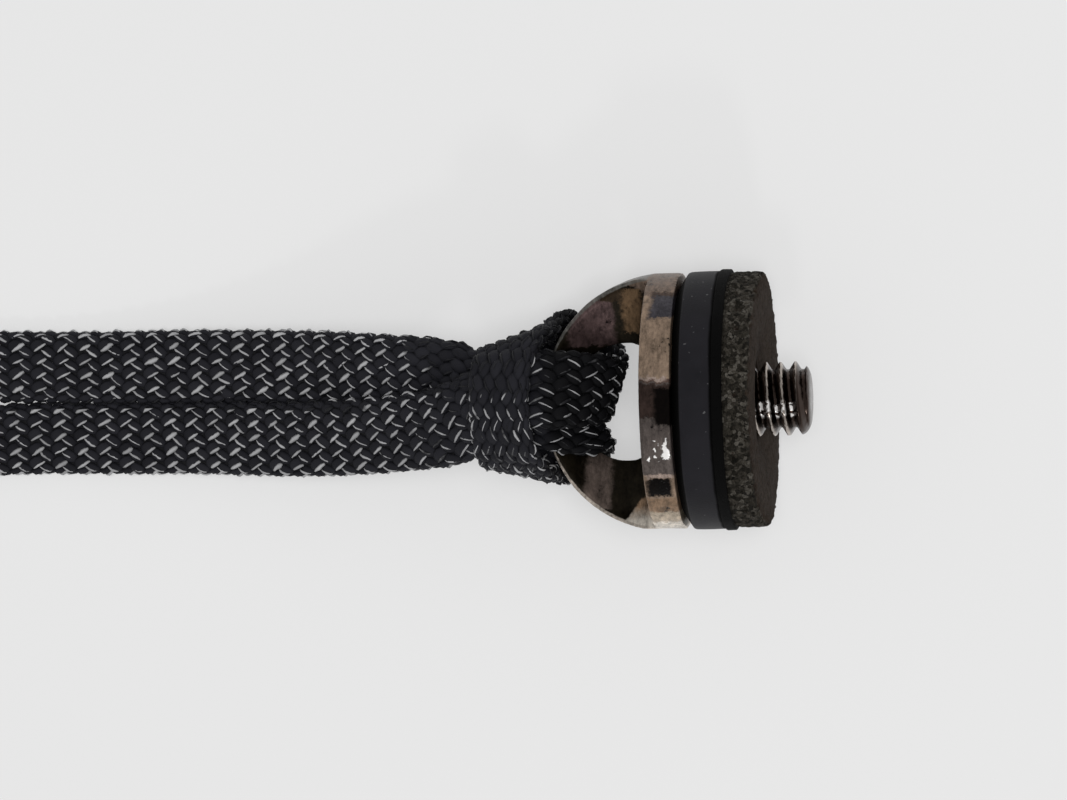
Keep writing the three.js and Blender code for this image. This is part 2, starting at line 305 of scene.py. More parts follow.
# %% Plate, bar and cutter of the eye
def eye_outline(radius, centre_x, corner, arc_sides=48, corner_sides=10):
    """A D whose straight side lies on the flange, as (x, y) points."""
    corner_y = math.sqrt((radius - corner) ** 2 - (centre_x + corner) ** 2)
    meet = math.atan2(corner_y, -corner - centre_x)
    whole = 2 * math.pi
    points = []
    for x, y, size, start, end, sides in (
            (centre_x, 0.0, radius, meet, whole - meet, arc_sides),
            (-corner, -corner_y, corner, whole - meet, whole, corner_sides),
            (-corner, corner_y, corner, 0.0, meet, corner_sides)):
        angles = [start + (end - start) * i / sides for i in range(sides + 1)]
        points += [(x + size * math.cos(a), y + size * math.sin(a)) for a in angles[:-1]]
        if end == whole:
            points.append((0.0, -corner_y))
    return points


def eye_cutter():
    """The eye, narrow at the plate's middle and flared to a little past both its faces."""
    waist, mouth = eye_outline(**EYE_WAIST), eye_outline(**EYE_MOUTH)
    levels = [1.2 - 0.15 * i for i in range(17)]

    def point_at(row, k):
        level = levels[row]
        share = abs(level) ** EYE_FLARE_POWER
        x, y = (w + (m - w) * share for w, m in zip(waist[k], mouth[k]))
        return Vector((x, y, level * PLATE_HALF_THICK))

    return rolled(len(levels), len(waist), point_at)


def plate():
    """Half of a disc with full shoulders, cut along the middle of the flange."""
    bm = bmesh.new()
    bmesh.ops.create_cone(bm, cap_ends=True, segments=192, radius1=1, radius2=1,
                          depth=2 * PLATE_HALF_THICK)
    for vert in bm.verts:
        x, y = (math.copysign(abs(side) ** (2 / PLATE_POWER), side) for side in vert.co[:2])
        vert.co = (PLATE_CENTRE_X + x * PLATE_REACH, y * FLANGE_RADIUS, vert.co.z)
    bmesh.ops.bisect_plane(bm, geom=[*bm.verts, *bm.edges, *bm.faces], clear_outer=True,
                           plane_co=(PLATE_CENTRE_X, 0, 0), plane_no=(1, 0, 0))
    bmesh.ops.holes_fill(bm, edges=[e for e in bm.edges if e.is_boundary])
    bmesh.ops.recalc_face_normals(bm, faces=bm.faces)
    return bm


def round_bar(radius, start, end):
    """A round bar along the axis."""
    return turned([(start, 0.0), (start, radius), (end, radius), (end, 0.0)], 192)


# %% [markdown]
# Castings have no knife edges. So the solids are joined with Boolean modifiers, then a
# voxel remesh and a light smooth round every edge at once, as the plating does. Last, slow
# noise moves the skin by a few hundredths of a millimetre, because a hand-polished casting
# is never quite flat.

# %% Join and cut the casting
CAST_VOXEL = 0.16


def modify(piece, kind, **settings):
    """Adds one modifier and at once swaps the mesh for the one that it makes."""
    modifier = piece.modifiers.new(kind.lower(), kind)
    for name, value in settings.items():
        setattr(modifier, name, value)
    graph = bpy.context.evaluated_depsgraph_get()
    mesh = bpy.data.meshes.new_from_object(piece.evaluated_get(graph))
    piece.modifiers.clear()
    piece.data = mesh


def make_bail():
    bail = object_from(plate(), "bail_casting")
    for bm, operation in (
            (round_bar(FLANGE_RADIUS, -12.0, FLANGE_THICK), "INTERSECT"),
            (eye_cutter(), "DIFFERENCE"),
            (round_bar(FLANGE_RADIUS, 0.0, FLANGE_THICK), "UNION"),
            (round_bar(BORE_RADIUS, BORE_FROM, FLANGE_THICK + 1), "DIFFERENCE")):
        tool = object_from(bm, "casting_tool")
        modify(bail, "BOOLEAN", object=tool, operation=operation, solver="EXACT")
        bpy.data.objects.remove(tool)
    modify(bail, "REMESH", mode="VOXEL", voxel_size=CAST_VOXEL * MM)
    modify(bail, "SMOOTH", factor=0.5, iterations=3)
    return bail


def push(piece, height_at):
    """Moves each point along its normal by height_at(point), both in head millimetres."""
    verts = piece.data.vertices
    moved = []
    for place, normal in [(vert.co.copy(), vert.normal.copy()) for vert in verts]:
        moved.extend(place + normal * (height_at((place - HEAD) / MM) * MM))
    verts.foreach_set("co", moved)
    piece.data.update()


def ripple(piece, depth, size, seed):
    """Slow waves of the skin, depth deep and size across, in millimetres."""
    shift = Vector((seed, 2 * seed, 3 * seed))
    push(piece, lambda point: depth * noise.noise(point / size + shift))


bail = make_bail()
ripple(bail, depth=0.05, size=2.6, seed=11.0)
print("casting points:", len(bail.data.vertices))

# %% [markdown]
# The plating is a thin dark nickel over the casting. Its colour is laid in patches: partly
# tarnish, beige where it is worn thin and brown where dirt has stayed, and partly painted
# reflections of the room, the dark and light bands that the shiny rim would mirror. One patch
# is a painted shadow. Each patch is a rectangle in X and Y with its own colour, and they are
# laid one over another like paint. A painted image could do the same, but a list of patches
# is easier to read and change. On the fitting, upper and lower mean towards +Y and -Y, as
# the camera will see them.

# %% Colours of the tarnish and painted light
BEIGE, TAN, OCHRE = (0.27, 0.196, 0.142), (0.15, 0.094, 0.052), (0.24, 0.158, 0.1)
CREAM, PALE, SEAM = (0.46, 0.38, 0.29), (0.7, 0.64, 0.56), (0.36, 0.28, 0.24)
TOP_BROWN, GREY_BROWN, RED_BROWN = (0.16, 0.115, 0.088), (0.13, 0.1, 0.085), (0.085, 0.052, 0.042)
DULL_BROWN, BROWN, PAINTED_SHADOW_BROWN = (0.06, 0.038, 0.028), (0.04, 0.026, 0.022), (0.03, 0.02, 0.012)
PLUM, PURPLE_GREY, SLATE = (0.1, 0.066, 0.064), (0.1, 0.083, 0.076), (0.052, 0.048, 0.056)
NICKEL, DARK_NICKEL, BLACK = (0.02, 0.016, 0.01), (0.004, 0.003, 0.002), (0.003, 0.0018, 0.0015)
BACK_DARK, CHIP_AND_GLINT_WHITE = (0.012, 0.009, 0.006), (1.0, 0.98, 0.96)
UPPER_LAND, LOWER_LAND = (0.13, 0.125, 0.115), (0.5, 0.44, 0.38)

# %% Patches of tarnish and painted light
# From x, to x, from y, to y, colour. A later patch lies over an earlier one.
TARNISH_AND_PAINTED_LIGHT = [
    (-6.9, -3.15, 5.0, 9.3, PLUM),
    (-2.3, -0.75, 6.1, 9.9, TAN),
    # A painted shadow near the plate's upper edge.
    (-4.3, -2.4, 9.0, 10.2, PAINTED_SHADOW_BROWN),
    (-6.1, -3.85, -9.0, -4.2, GREY_BROWN),
    (-0.1, 4.0, -12.0, 12.0, BEIGE),
    (-0.1, 4.0, 9.55, 12.0, TOP_BROWN),
    (0.6, 4.0, 9.35, 9.8, DULL_BROWN),
    (0.7, 4.0, 7.85, 9.5, SLATE),
    (-0.2, 4.0, 1.9, 3.15, RED_BROWN),
    (-0.2, 4.0, -5.15, 2.75, PURPLE_GREY),
    (-0.2, 4.0, -0.2, 2.6, BROWN),
    # A painted dark reflection, where the rim faces the camera.
    (1.2, 4.0, -0.9, 2.35, BLACK),
    (0.0, 2.5, 2.95, 3.2, SEAM),
    (0.25, 2.5, -5.4, -5.1, SEAM),
    # A painted reflection of a dark object, low on the rim.
    (0.3, 2.35, -7.1, -5.45, BLACK),
    # Ochre, cream and pale towards the lower edge: painted reflections of the bright table.
    (-0.1, 4.0, -12.0, -7.3, OCHRE),
    (-0.1, 4.0, -12.0, -8.7, CREAM),
    (-0.1, 4.0, -12.0, -9.8, PALE)]
PATCH_BORDER_X, PATCH_BORDER_Y = 0.3, 0.1
print("patches of tarnish:", len(TARNISH_AND_PAINTED_LIGHT))


def with_patches(metal, colour, x, y):
    for from_x, to_x, from_y, to_y, tone in TARNISH_AND_PAINTED_LIGHT:
        inside_x = metal.between(x, from_x, to_x, PATCH_BORDER_X)
        inside_y = metal.between(y, from_y, to_y, PATCH_BORDER_Y)
        colour = metal.mixed(inside_x * inside_y, colour, tone)
    return colour


# %% [markdown]
# Four places have other borders. The shoulders beside the flange end at a slant, the thin
# land round the plate's outside is a ring, the flange's back face, which no finger reaches,
# stays dark, and a few bright chips on the flange's rim are bare metal and painted glints.
# Each is a mask of its own, laid over the patches.

# %% Shoulders, back face, land and chips
UPPER_SLOPE, UPPER_FROM = 0.5, 9.25
LOWER_SLOPE, LOWER_FROM = 1.16, 6.75
SHOULDER_BORDER = 0.3
LOWER_PALE_FROM, LOWER_PALE_TO = 8.7, 10.2
BACK_FACE_FROM, BACK_FACE_TO, BACK_FACE_RADIUS = -0.15, 0.2, 10.5
LAND_FROM, LAND_BORDER = 10.72, 0.1
SPOTS_X, SPOTS_Y = (0.35, 1.5), (-3.9, -2.0)
CHIP_X, CHIP_Y, CHIP_HALF_WIDE = 2.15, (-3.7, -1.9), 0.3


def with_shoulders(metal, colour, x, y, on_plate):
    """Brown on the upper shoulder, and ochre on the lower one that pales downwards as a painted
    reflection of the bright table.
    """
    upper = metal.step(y + UPPER_SLOPE * x, UPPER_FROM, UPPER_FROM + SHOULDER_BORDER)
    lower = metal.step(LOWER_SLOPE * x - y, LOWER_FROM, LOWER_FROM + SHOULDER_BORDER)
    lower_tone = metal.mixed(metal.step(-1 * y, LOWER_PALE_FROM, LOWER_PALE_TO), OCHRE, PALE)
    colour = metal.mixed(upper * on_plate, colour, TOP_BROWN)
    return metal.mixed(lower * on_plate, colour, lower_tone)


def with_back_face(metal, colour, point, streaks):
    """Dark streaks on the flange's back face, out to just inside its rim."""
    x, y, z = metal.split(point)
    from_axis = (y * y + z * z) ** 0.5
    behind = metal.between(x, BACK_FACE_FROM, BACK_FACE_TO, 0.05)
    behind = behind * (1 - metal.step(from_axis, BACK_FACE_RADIUS, BACK_FACE_RADIUS + 0.3))
    return metal.mixed(behind, colour, metal.mixed(streaks, BACK_DARK, BROWN))


def with_land(metal, colour, point, on_plate, jagged, fine):
    """The strip round the plate's outside, partly wear and partly a painted reflection, palest at
    its lower end.
    """
    x, y, _ = metal.split(point)
    from_centre = ((x - PLATE_CENTRE_X) ** 2 + y * y) ** 0.5
    land = metal.step(from_centre + 0.2 * (jagged - 0.5), LAND_FROM, LAND_FROM + LAND_BORDER)
    tone = metal.mixed(metal.step(-1 * y, -1.0, 5.0), UPPER_LAND, LOWER_LAND)
    return metal.mixed(land * on_plate * (0.2 + 1.3 * fine), colour, tone)


def chip_and_glint_mask(metal, point, ragged_x, ragged_y):
    """Small spots and one long chip, which narrows upwards: bare metal, and painted glints."""
    x, y, _ = metal.split(point)
    spots = metal.step(metal.grain(point, 0.5, detail=2.0), 0.57, 0.6)
    spots = spots * metal.between(x, *SPOTS_X, 0.1) * metal.between(y, *SPOTS_Y, 0.1)
    half_wide = CHIP_HALF_WIDE * metal.step(-1 * y, 1.7, 3.2)
    chip = metal.between(ragged_x - CHIP_X, 0 - half_wide, half_wide, 0.03)
    return spots + chip * metal.between(ragged_y, *CHIP_Y, 0.05)


# %% [markdown]
# The plating puts them together. Noise added to X and Y makes the patches' borders ragged.
# Then streaks lighten and darken every patch, and soot lies in the hollows. Tarnish is half
# an oxide, so it is less metallic than the pale lower end, where it is worn away and its
# pale colour is partly a painted reflection.

# %% Plating of the fitting
def plating_recipe():
    metal = Recipe("worn_plating_and_painted_reflections", Specular_IOR_Level=0.15)
    point = metal.head_point()
    x, y, _ = metal.split(point)
    cloud = metal.grain(point, 1.6, detail=4.0, roughness=0.6)
    fine = metal.grain(point, 0.3, detail=3.0, roughness=0.6)
    jagged = metal.grain(point, 0.55, detail=5.0, roughness=0.75)
    streaks = metal.grain(point, 0.5, detail=5.0, roughness=0.75, stretch=(1, 3, 2))
    ragged_x = x + 1.3 * (cloud - 0.5) + 0.8 * (jagged - 0.5)
    ragged_y = y + 1.3 * (jagged - 0.5) + 0.5 * (cloud - 0.5)
    on_plate = 1 - metal.step(x, -0.15, 0.1)
    colour = metal.mixed(cloud, DARK_NICKEL, NICKEL)
    colour = with_patches(metal, colour, ragged_x, ragged_y)
    colour = with_shoulders(metal, colour, ragged_x, ragged_y, on_plate)
    colour = with_back_face(metal, colour, point, streaks)
    colour = with_land(metal, colour, point, on_plate, jagged, fine)
    shade = 2.6 * streaks + 1.2 * cloud + 0.8 * fine - 1.3
    colour = metal.add("VectorMath", {"operation": "SCALE"}, {0: colour, "Scale": shade})
    soot = 1 - metal.step(fine * 0.5 + cloud * 0.5, 0.32, 0.4)
    colour = metal.mixed(soot, colour, BLACK)
    # Bright chips: bare metal, and painted glints.
    colour = metal.mixed(chip_and_glint_mask(metal, point, ragged_x, ragged_y), colour, CHIP_AND_GLINT_WHITE)
    worn_away = metal.step(-1 * ragged_y, 8.6, 9.8)
    metal.feed(Base_Color=colour,
               Metallic=0.6 + 0.4 * worn_away,
               Roughness=0.16 + 0.25 * cloud + 0.2 * fine,
               Normal=metal.bump(streaks * 0.6 + fine * 0.4 - 0.8 * soot, 0.06))
    return metal


finish_piece(bail, "bail_ring", [plating_recipe()])

# %% [markdown]
# ## The stud
#
# A 1/4 inch camera screw has 20 turns to the inch. A screw thread is a ridge that climbs
# one pitch a turn. It could be a profile spun along a helix, but then the tip needs its
# own mesh. Here the stud is a rolled sheet, and the radius of each point depends on how
# far along and how far round it lies. The crest is where the climb matches the turn, and
# the last millimetre is rounded off so that the screw finds its hole.

# %% Thread of the stud
INCH = 25.4
STUD_RADIUS = INCH / 8
PITCH = INCH / 20
STUD_TIP = 13.5
SHANK_FROM, THREAD_FROM = 1.6, 6.6
THREAD_DEPTH = 0.66
THREAD_START = 0.65
THREAD_ROWS, THREAD_SIDES = 120, 72
THREAD_WEAR = 0.05
TIP_LENGTH, TIP_RADIUS = 1.15, 1.7
CREST_TO, ROOT_FROM = 0.14, 0.8
print("thread across and pitch in mm:", 2 * STUD_RADIUS, PITCH)


def thread_height(share):
    """1 on the crest, 0 at the root, for a share of the pitch."""
    from_crest = abs(share - 0.5) * 2
    return min(1.0, max(0.0, (ROOT_FROM - from_crest) / (ROOT_FROM - CREST_TO)))


def make_stud():
    levels = [SHANK_FROM, *np.linspace(THREAD_FROM, STUD_TIP, THREAD_ROWS)]

    def point_at(row, k):
        x = levels[row]
        turn = k / THREAD_SIDES
        angle = 2 * math.pi * turn
        rise = thread_height((x / PITCH + THREAD_START - turn) % 1.0) if row else 0.0
        crest = STUD_RADIUS - THREAD_DEPTH * (1 - rise)
        into_tip = max(0.0, (x - STUD_TIP) / TIP_LENGTH + 1)
        tip = TIP_RADIUS + (STUD_RADIUS - TIP_RADIUS) * math.sqrt(max(0.0, 1 - into_tip**2))
        place = Vector((x, 3 * math.cos(angle), 3 * math.sin(angle))) * 1.6
        radius = min(crest, tip) + THREAD_WEAR * noise.noise(place)
        return Vector((x, -radius * math.sin(angle), radius * math.cos(angle)))

    return object_from(rolled(len(levels), THREAD_SIDES, point_at), "screw_stud")


# %% [markdown]
# The same dark plating is worn to steel along the crests, where it rubs in its socket, and
# the pale crests are also a painted highlight. Short bright spots on the crests and in the
# roots, in a strip along the top and the bottom, are painted glints: white, and less
# metallic than the steel round them.

# %% Finish of the stud
THREAD_DARK, THREAD_WORN_HIGHLIGHT = (0.05, 0.036, 0.03), (0.55, 0.49, 0.44)
ROOT_RADIUS = STUD_RADIUS - THREAD_DEPTH
THREAD_GLINTS_Y = (-1.1, 0.4)


def stud_recipe():
    steel = Recipe("dark_plated_thread")
    point = steel.head_point()
    x, y, z = steel.split(point)
    radius = (y * y + z * z) ** 0.5
    cloud = steel.grain(point, 0.7, detail=4.0)
    crest = steel.step(radius + 0.2 * cloud, STUD_RADIUS - 0.2, STUD_RADIUS + 0.1)
    root = 1 - steel.step(radius, ROOT_RADIUS, ROOT_RADIUS + 0.07)
    on_thread = 1 - steel.step(x, STUD_TIP - 1.3, STUD_TIP - 1.0)
    # Wear along the crests, and a painted highlight there.
    worn_highlight = crest * on_thread * (0.35 + 0.9 * cloud)
    colour = steel.mixed(worn_highlight, THREAD_DARK, THREAD_WORN_HIGHLIGHT)
    # Painted glints: white, half matt spots on crests and roots, in a strip.
    painted_glints = steel.step(steel.grain(point, 0.4, detail=3.0), 0.46, 0.5) * (crest + root)
    painted_glints = painted_glints * steel.between(y + 0.5 * cloud, *THREAD_GLINTS_Y, 0.15) * on_thread
    steel.feed(Base_Color=steel.mixed(painted_glints, colour, CHIP_AND_GLINT_WHITE),
               Metallic=1 - 0.5 * painted_glints,
               Roughness=0.12 + 0.2 * cloud,
               Normal=steel.bump(cloud, 0.04))
    return steel


finish_piece(make_stud(), "thread_stud", [stud_recipe()], sharp_degrees=40)

# %% [markdown]
# ## Washer and grip pad
#
# Both are turned parts. The washer is black rubber with a thin raised lip, so its profile
# is a short list of points round one half of its section. Rubber is matt. The lip and the
# bevel are rougher than the band between them, and darker as painted shade.

# %% The rubber washer
WASHER_FROM, WASHER_TO = 2.6, 6.9
WASHER_RADIUS, LIP_RADIUS = 11.12, 11.25
LIP_WIDTH = 0.8
LIP_DARK_FROM, BEVEL_DARK_TO = 5.72, 3.3
BORE = 3.475
TURN_STEPS = 220
RUBBER_DARK, RUBBER_LIGHT = (0.008, 0.008, 0.0095), (0.019, 0.018, 0.022)
RUBBER_EDGE_SHADE, DUST = (0.001, 0.001, 0.001), (0.5, 0.5, 0.5)


def make_washer():
    lip_from = WASHER_TO - LIP_WIDTH
    profile = [(WASHER_FROM, BORE), (WASHER_TO, BORE), (WASHER_TO, LIP_RADIUS - 0.1),
               (WASHER_TO - 0.05, LIP_RADIUS - 0.02), (lip_from + 0.1, LIP_RADIUS),
               (lip_from, LIP_RADIUS - 0.03), (lip_from - 0.08, WASHER_RADIUS - 0.08),
               (lip_from - 0.2, WASHER_RADIUS - 0.02), (5.0, WASHER_RADIUS), (4.1, WASHER_RADIUS),
               (3.5, WASHER_RADIUS - 0.02), (3.35, WASHER_RADIUS - 0.07),
               (WASHER_FROM + 0.2, WASHER_RADIUS - 0.9), (WASHER_FROM, WASHER_RADIUS - 1.2)]
    return object_from(turned(profile, TURN_STEPS), "black_washer")


def rubber_recipe():
    rubber = Recipe("black_rubber", Specular_IOR_Level=0.12)
    point = rubber.head_point()
    x, _, _ = rubber.split(point)
    cloud = rubber.grain(point, 2.4, detail=3.0)
    fine = rubber.grain(point, 0.12, detail=2.0)
    lip = rubber.step(x + 0.3 * (cloud - 0.5), LIP_DARK_FROM, LIP_DARK_FROM + 0.23)
    bevel = 1 - rubber.step(x + 0.1 * (cloud - 0.5), BEVEL_DARK_TO, BEVEL_DARK_TO + 0.12)
    # The lip and the bevel: rougher, and darker as painted shade.
    edges = 1 - (1 - lip) * (1 - bevel)
    nicks = rubber.step(rubber.grain(point, 0.3, detail=2.0), 0.62, 0.7)
    tone = rubber.mixed(edges, rubber.mixed(cloud, RUBBER_DARK, RUBBER_LIGHT), RUBBER_EDGE_SHADE)
    dust = rubber.step(rubber.grain(point, 0.4, detail=2.0), 0.7, 0.74) * (1 - edges)
    rubber.feed(Base_Color=rubber.mixed(0.15 * dust, tone, DUST),
                Roughness=0.42 + 0.2 * cloud + 0.3 * edges,
                Normal=rubber.bump(fine * 0.3 - nicks * lip, 0.06))
    return rubber


washer = make_washer()
ripple(washer, depth=0.06, size=5.0, seed=23.0)
finish_piece(washer, "rubber_washer", [rubber_recipe()], sharp_degrees=50)

# %% [markdown]
# The pad is a slice of cork and rubber composition: granules pressed together. Its sawn rim
# is rough and its edges crumble, while its face is smoother, dished by the screw's pull and
# worn back at the top. The rim is turned in many small steps, so that noise can move its
# points one by one. Only the rim and its corners move much.

# %% The cork pad
PAD_FROM = 6.9
PAD_RADIUS = 11.0
PAD_EDGE = 0.5
DISH_RADIUS, DISH_DEPTH = 8.0, 1.1
WORN_FROM_X, WORN_SLOPE = 8.2, 0.04
ROUGH_FROM, ROUGH_BORDER = 9.8, 0.9
FACE_STEPS, RIM_STEPS, RIM_STEP = 40, 17, 0.12
print("pad across and thick in mm:", 2 * PAD_RADIUS, round(PAD_FACE - PAD_FROM, 1))


def pad_profile():
    edge = rounded_corner(PAD_FACE - PAD_EDGE, PAD_RADIUS - PAD_EDGE, PAD_EDGE, 90, steps=8)
    rim = [(PAD_FACE - PAD_EDGE - RIM_STEP * i, PAD_RADIUS) for i in range(1, RIM_STEPS + 1)]
    face_width = PAD_RADIUS - PAD_EDGE - BORE
    face = []
    for i in range(FACE_STEPS):
        radius = BORE + face_width * i / FACE_STEPS
        dished = max(0.0, (DISH_RADIUS - radius) / (DISH_RADIUS - BORE))
        face.append((PAD_FACE - DISH_DEPTH * dished ** 1.5, radius))
    return face + edge + rim + [(PAD_FROM, PAD_RADIUS - 0.12), (PAD_FROM, BORE)]


def wear_upper_edge(piece):
    """Leans the upper half of the pad's face back, most at the top."""
    for vert in piece.data.vertices:
        point = (vert.co - HEAD) / MM
        reach = max(0.0, point.x - WORN_FROM_X)
        vert.co.x -= WORN_SLOPE * max(0.0, point.z) * reach * MM


def roughness_at(point):
    """Granules, pits and crumbled edges, deepest on the rim."""
    radius = math.hypot(point.y, point.z)
    if point.x < PAD_FROM + 0.05 or radius < BORE + 0.1:
        return 0.0
    on_rim = min(1.0, max(0.0, (radius - ROUGH_FROM) / ROUGH_BORDER))
    grain = noise.fractal(point * 2.1, 1.0, 2.0, 4)
    pits = max(0.0, noise.noise(point * 3.7 + Vector((7, 0, 0))) - 0.18)
    crumbs = max(0.0, noise.noise(point * 1.5 + Vector((0, 9, 0))) - 0.25) * on_rim
    move = (0.03 + 0.09 * on_rim) * grain - (0.15 + 0.4 * on_rim) * pits - 0.5 * crumbs
    return move - 0.05 * on_rim


# %% [markdown]
# Each granule is one cell of a Voronoi pattern, and gets one tone from it. The distance to
# the cell's edge gives the cracks between granules. The rim shows light granules between
# dark ones, and the face is browner and more even, because it was sanded flat.

# %% Finish of the pad
GRANULES_PER_MM = 3.0
CRACK = (0.004, 0.004, 0.003)
RIM_STOPS = [(0.3, CRACK), (0.42, (0.017, 0.015, 0.012)),
             (0.54, (0.045, 0.04, 0.032)), (0.66, (0.12, 0.11, 0.095))]
FACE_STOPS = [(0.3, (0.017, 0.012, 0.009)), (0.5, (0.038, 0.027, 0.02)),
              (0.7, (0.062, 0.047, 0.037))]


def cork_recipe():
    cork = Recipe("cork_composition", Roughness=0.9, Specular_IOR_Level=0.12)
    point = cork.head_point()
    _, y, z = cork.split(point)
    radius = (y * y + z * z) ** 0.5
    sockets = {"Vector": point, "Scale": GRANULES_PER_MM}
    granule, _, _ = cork.split(cork.add("TexVoronoi", {}, sockets, output="Color"))
    from_crack = cork.add("TexVoronoi", {"feature": "DISTANCE_TO_EDGE"}, sockets,
                          output="Distance")
    fine = cork.grain(point, 0.13, detail=4.0, roughness=0.7)
    coarse = cork.grain(point, 1.1, detail=4.0, roughness=0.6)
    on_rim = cork.step(radius, 10.5, 10.85)
    rim = cork.add("ValToRGB", {"stops": RIM_STOPS},
                   {0: 0.25 * granule + 0.45 * fine + 0.3 * coarse})
    face = cork.add("ValToRGB", {"stops": FACE_STOPS},
                    {0: 0.5 * coarse + 0.35 * fine + 0.15 * granule})
    cracks = 1 - cork.step(from_crack + 0.15 * fine, 0.08, 0.14)
    cracks = cracks * cork.step(coarse, 0.5, 0.6)
    colour = cork.mixed(on_rim, face, rim)
    cork.feed(Base_Color=cork.mixed(cracks * (0.35 + 0.65 * on_rim), colour, CRACK),
              Normal=cork.bump(fine + 0.4 * granule - cracks, 0.18))
    return cork


pad = object_from(turned(pad_profile(), 2 * TURN_STEPS), "cork_pad")
wear_upper_edge(pad)
push(pad, roughness_at)
finish_piece(pad, "grip_pad", [cork_recipe()])

# %% [markdown]
# ## The strap's route
#
# The strap is one flat tube of braid, and its route is a list of rows from its first end
# round the loop, through the hitch and back. Each row has a point, the direction across
# the strap, and its width and thickness. The hitch's rows are listed one by one, because a
# hitch pulled tight follows no simple curve. Both legs come up through the eye and go round
# the plate, and the collar crosses over them.

# %% Rows of the hitch
# x, y, z, side x, side y, side z, width, thickness, from the loop to the collar.
FRONT_LEG = [
    (-54, -3.45, -10.0, 0, 1, 0, 6.8, 1.8), (-43, -3.4, -8.5, 0, 1, 0.02, 6.9, 1.8),
    (-33, -3.32, -5.1, 0, 1, 0.12, 7.0, 1.8), (-23, -2.45, -0.75, 0, 1, 0.27, 7.2, 1.8),
    (-17.5, -1.35, 2.1, 0, 1, 0.18, 7.3, 1.7), (-13.6, 0.6, 3.95, 0, 1, 0, 6.8, 1.6),
    (-10.9, 1.75, 4.9, 0, 1, -0.15, 6.6, 1.5), (-8.9, 1.85, 5.25, 0.05, 1, -0.3, 6.8, 1.5),
    (-6.4, 1.6, 4.15, 0.15, 1, -0.2, 6.7, 1.5), (-4.5, 1.25, 2.2, 0.25, 1, -0.1, 6.3, 1.5),
    (-3.75, 1.05, 0, 0.3, 1, 0, 5.8, 1.5), (-4.3, 1.7, -2.2, 0.5, 1, 0, 5.9, 1.5),
    (-6.2, 3.4, -4.45, 0.8, 1, 0, 6.2, 1.55), (-8.8, 5.0, -4.7, 1, 0.9, 0, 6.4, 1.6),
    (-10.6, 5.6, -2.7, 1, 0.6, 0, 6.5, 1.6), (-11.2, 5.3, 0.4, 1, 0.4, 0, 6.5, 1.6),
    (-11.8, 5.4, 3.7, 1, 0.3, 0.05, 6.1, 1.6), (-12.3, 3.9, 6.15, 1, 0.12, 0.2, 5.8, 1.6)]
BACK_LEG = [
    (-54, 3.2, -10.0, 0, 1, 0, 6.8, 1.8), (-43, 3.17, -8.5, 0, 1, 0.02, 6.9, 1.8),
    (-33, 3.12, -5.9, 0, 1, 0.12, 6.95, 1.8), (-23, 3.0, -1.9, 0, 1, 0.27, 6.7, 1.8),
    (-17.5, 2.5, 0.2, 0, 1, 0.18, 6.6, 1.7), (-13.6, 0.75, 1.8, 0, 1, 0, 6.4, 1.6),
    (-11.0, -0.3, 2.9, 0, 1, 0, 6.1, 1.5), (-9.1, -0.8, 3.72, -0.05, 1, 0, 5.8, 1.5),
    (-7.4, -1.3, 2.75, -0.2, 1, 0, 5.7, 1.5), (-6.0, -1.7, 1.5, -0.36, 1, 0, 5.7, 1.5),
    (-5.3, -1.85, 0, -0.5, 1, 0, 5.2, 1.5), (-5.75, -2.55, -1.9, -0.5, 1, 0, 5.7, 1.5),
    (-7.0, -3.3, -3.4, -0.7, 1, 0, 6.0, 1.5), (-9.2, -4.6, -4.0, -1, 0.75, 0, 6.2, 1.6),
    (-11.2, -5.3, -2.6, -1, 0.4, 0, 6.4, 1.6), (-11.9, -5.5, 0.3, -1, 0.27, 0, 6.5, 1.6),
    (-12.2, -4.7, 3.3, -1, 0.12, -0.05, 6.2, 1.6), (-12.4, -2.8, 5.9, -1, 0, -0.25, 5.8, 1.6)]
COLLAR = [(-12.5, 0.5, 6.85, -1, 0, -0.28, 5.6, 1.5)]
print("rows in the legs:", len(FRONT_LEG), len(BACK_LEG))

# %% [markdown]
# The loop's rows come from a few sizes. The strap stands on its edge round the far end of
# the loop, where its two ends lap, and each side twists down flat on its way to the hitch.

# %% Rows of the loop
STRAP_WIDTH, STRAP_THICK = 6.8, 1.8
AXIS_HEIGHT = HEAD.z / MM
LOOP_RADIUS = 32
LOOP_CENTRE_X = -184
LOOP_STEP_DEGREES = 10
RUN_START_X = -62
RUN_Y = STRAP_WIDTH / 2
ON_EDGE_SHARE = 0.42
LAP_HALF_ANGLE, LAP_BLEND_ANGLE = 20, 25
LAP_OFFSET = STRAP_THICK / 2 + 0.1
SIDE_ROWS = 12


def eased(share):
    """The share kept from 0 to 1, with a soft start and a soft end."""
    share = min(1.0, max(0.0, share))
    return share * share * (3 - 2 * share)


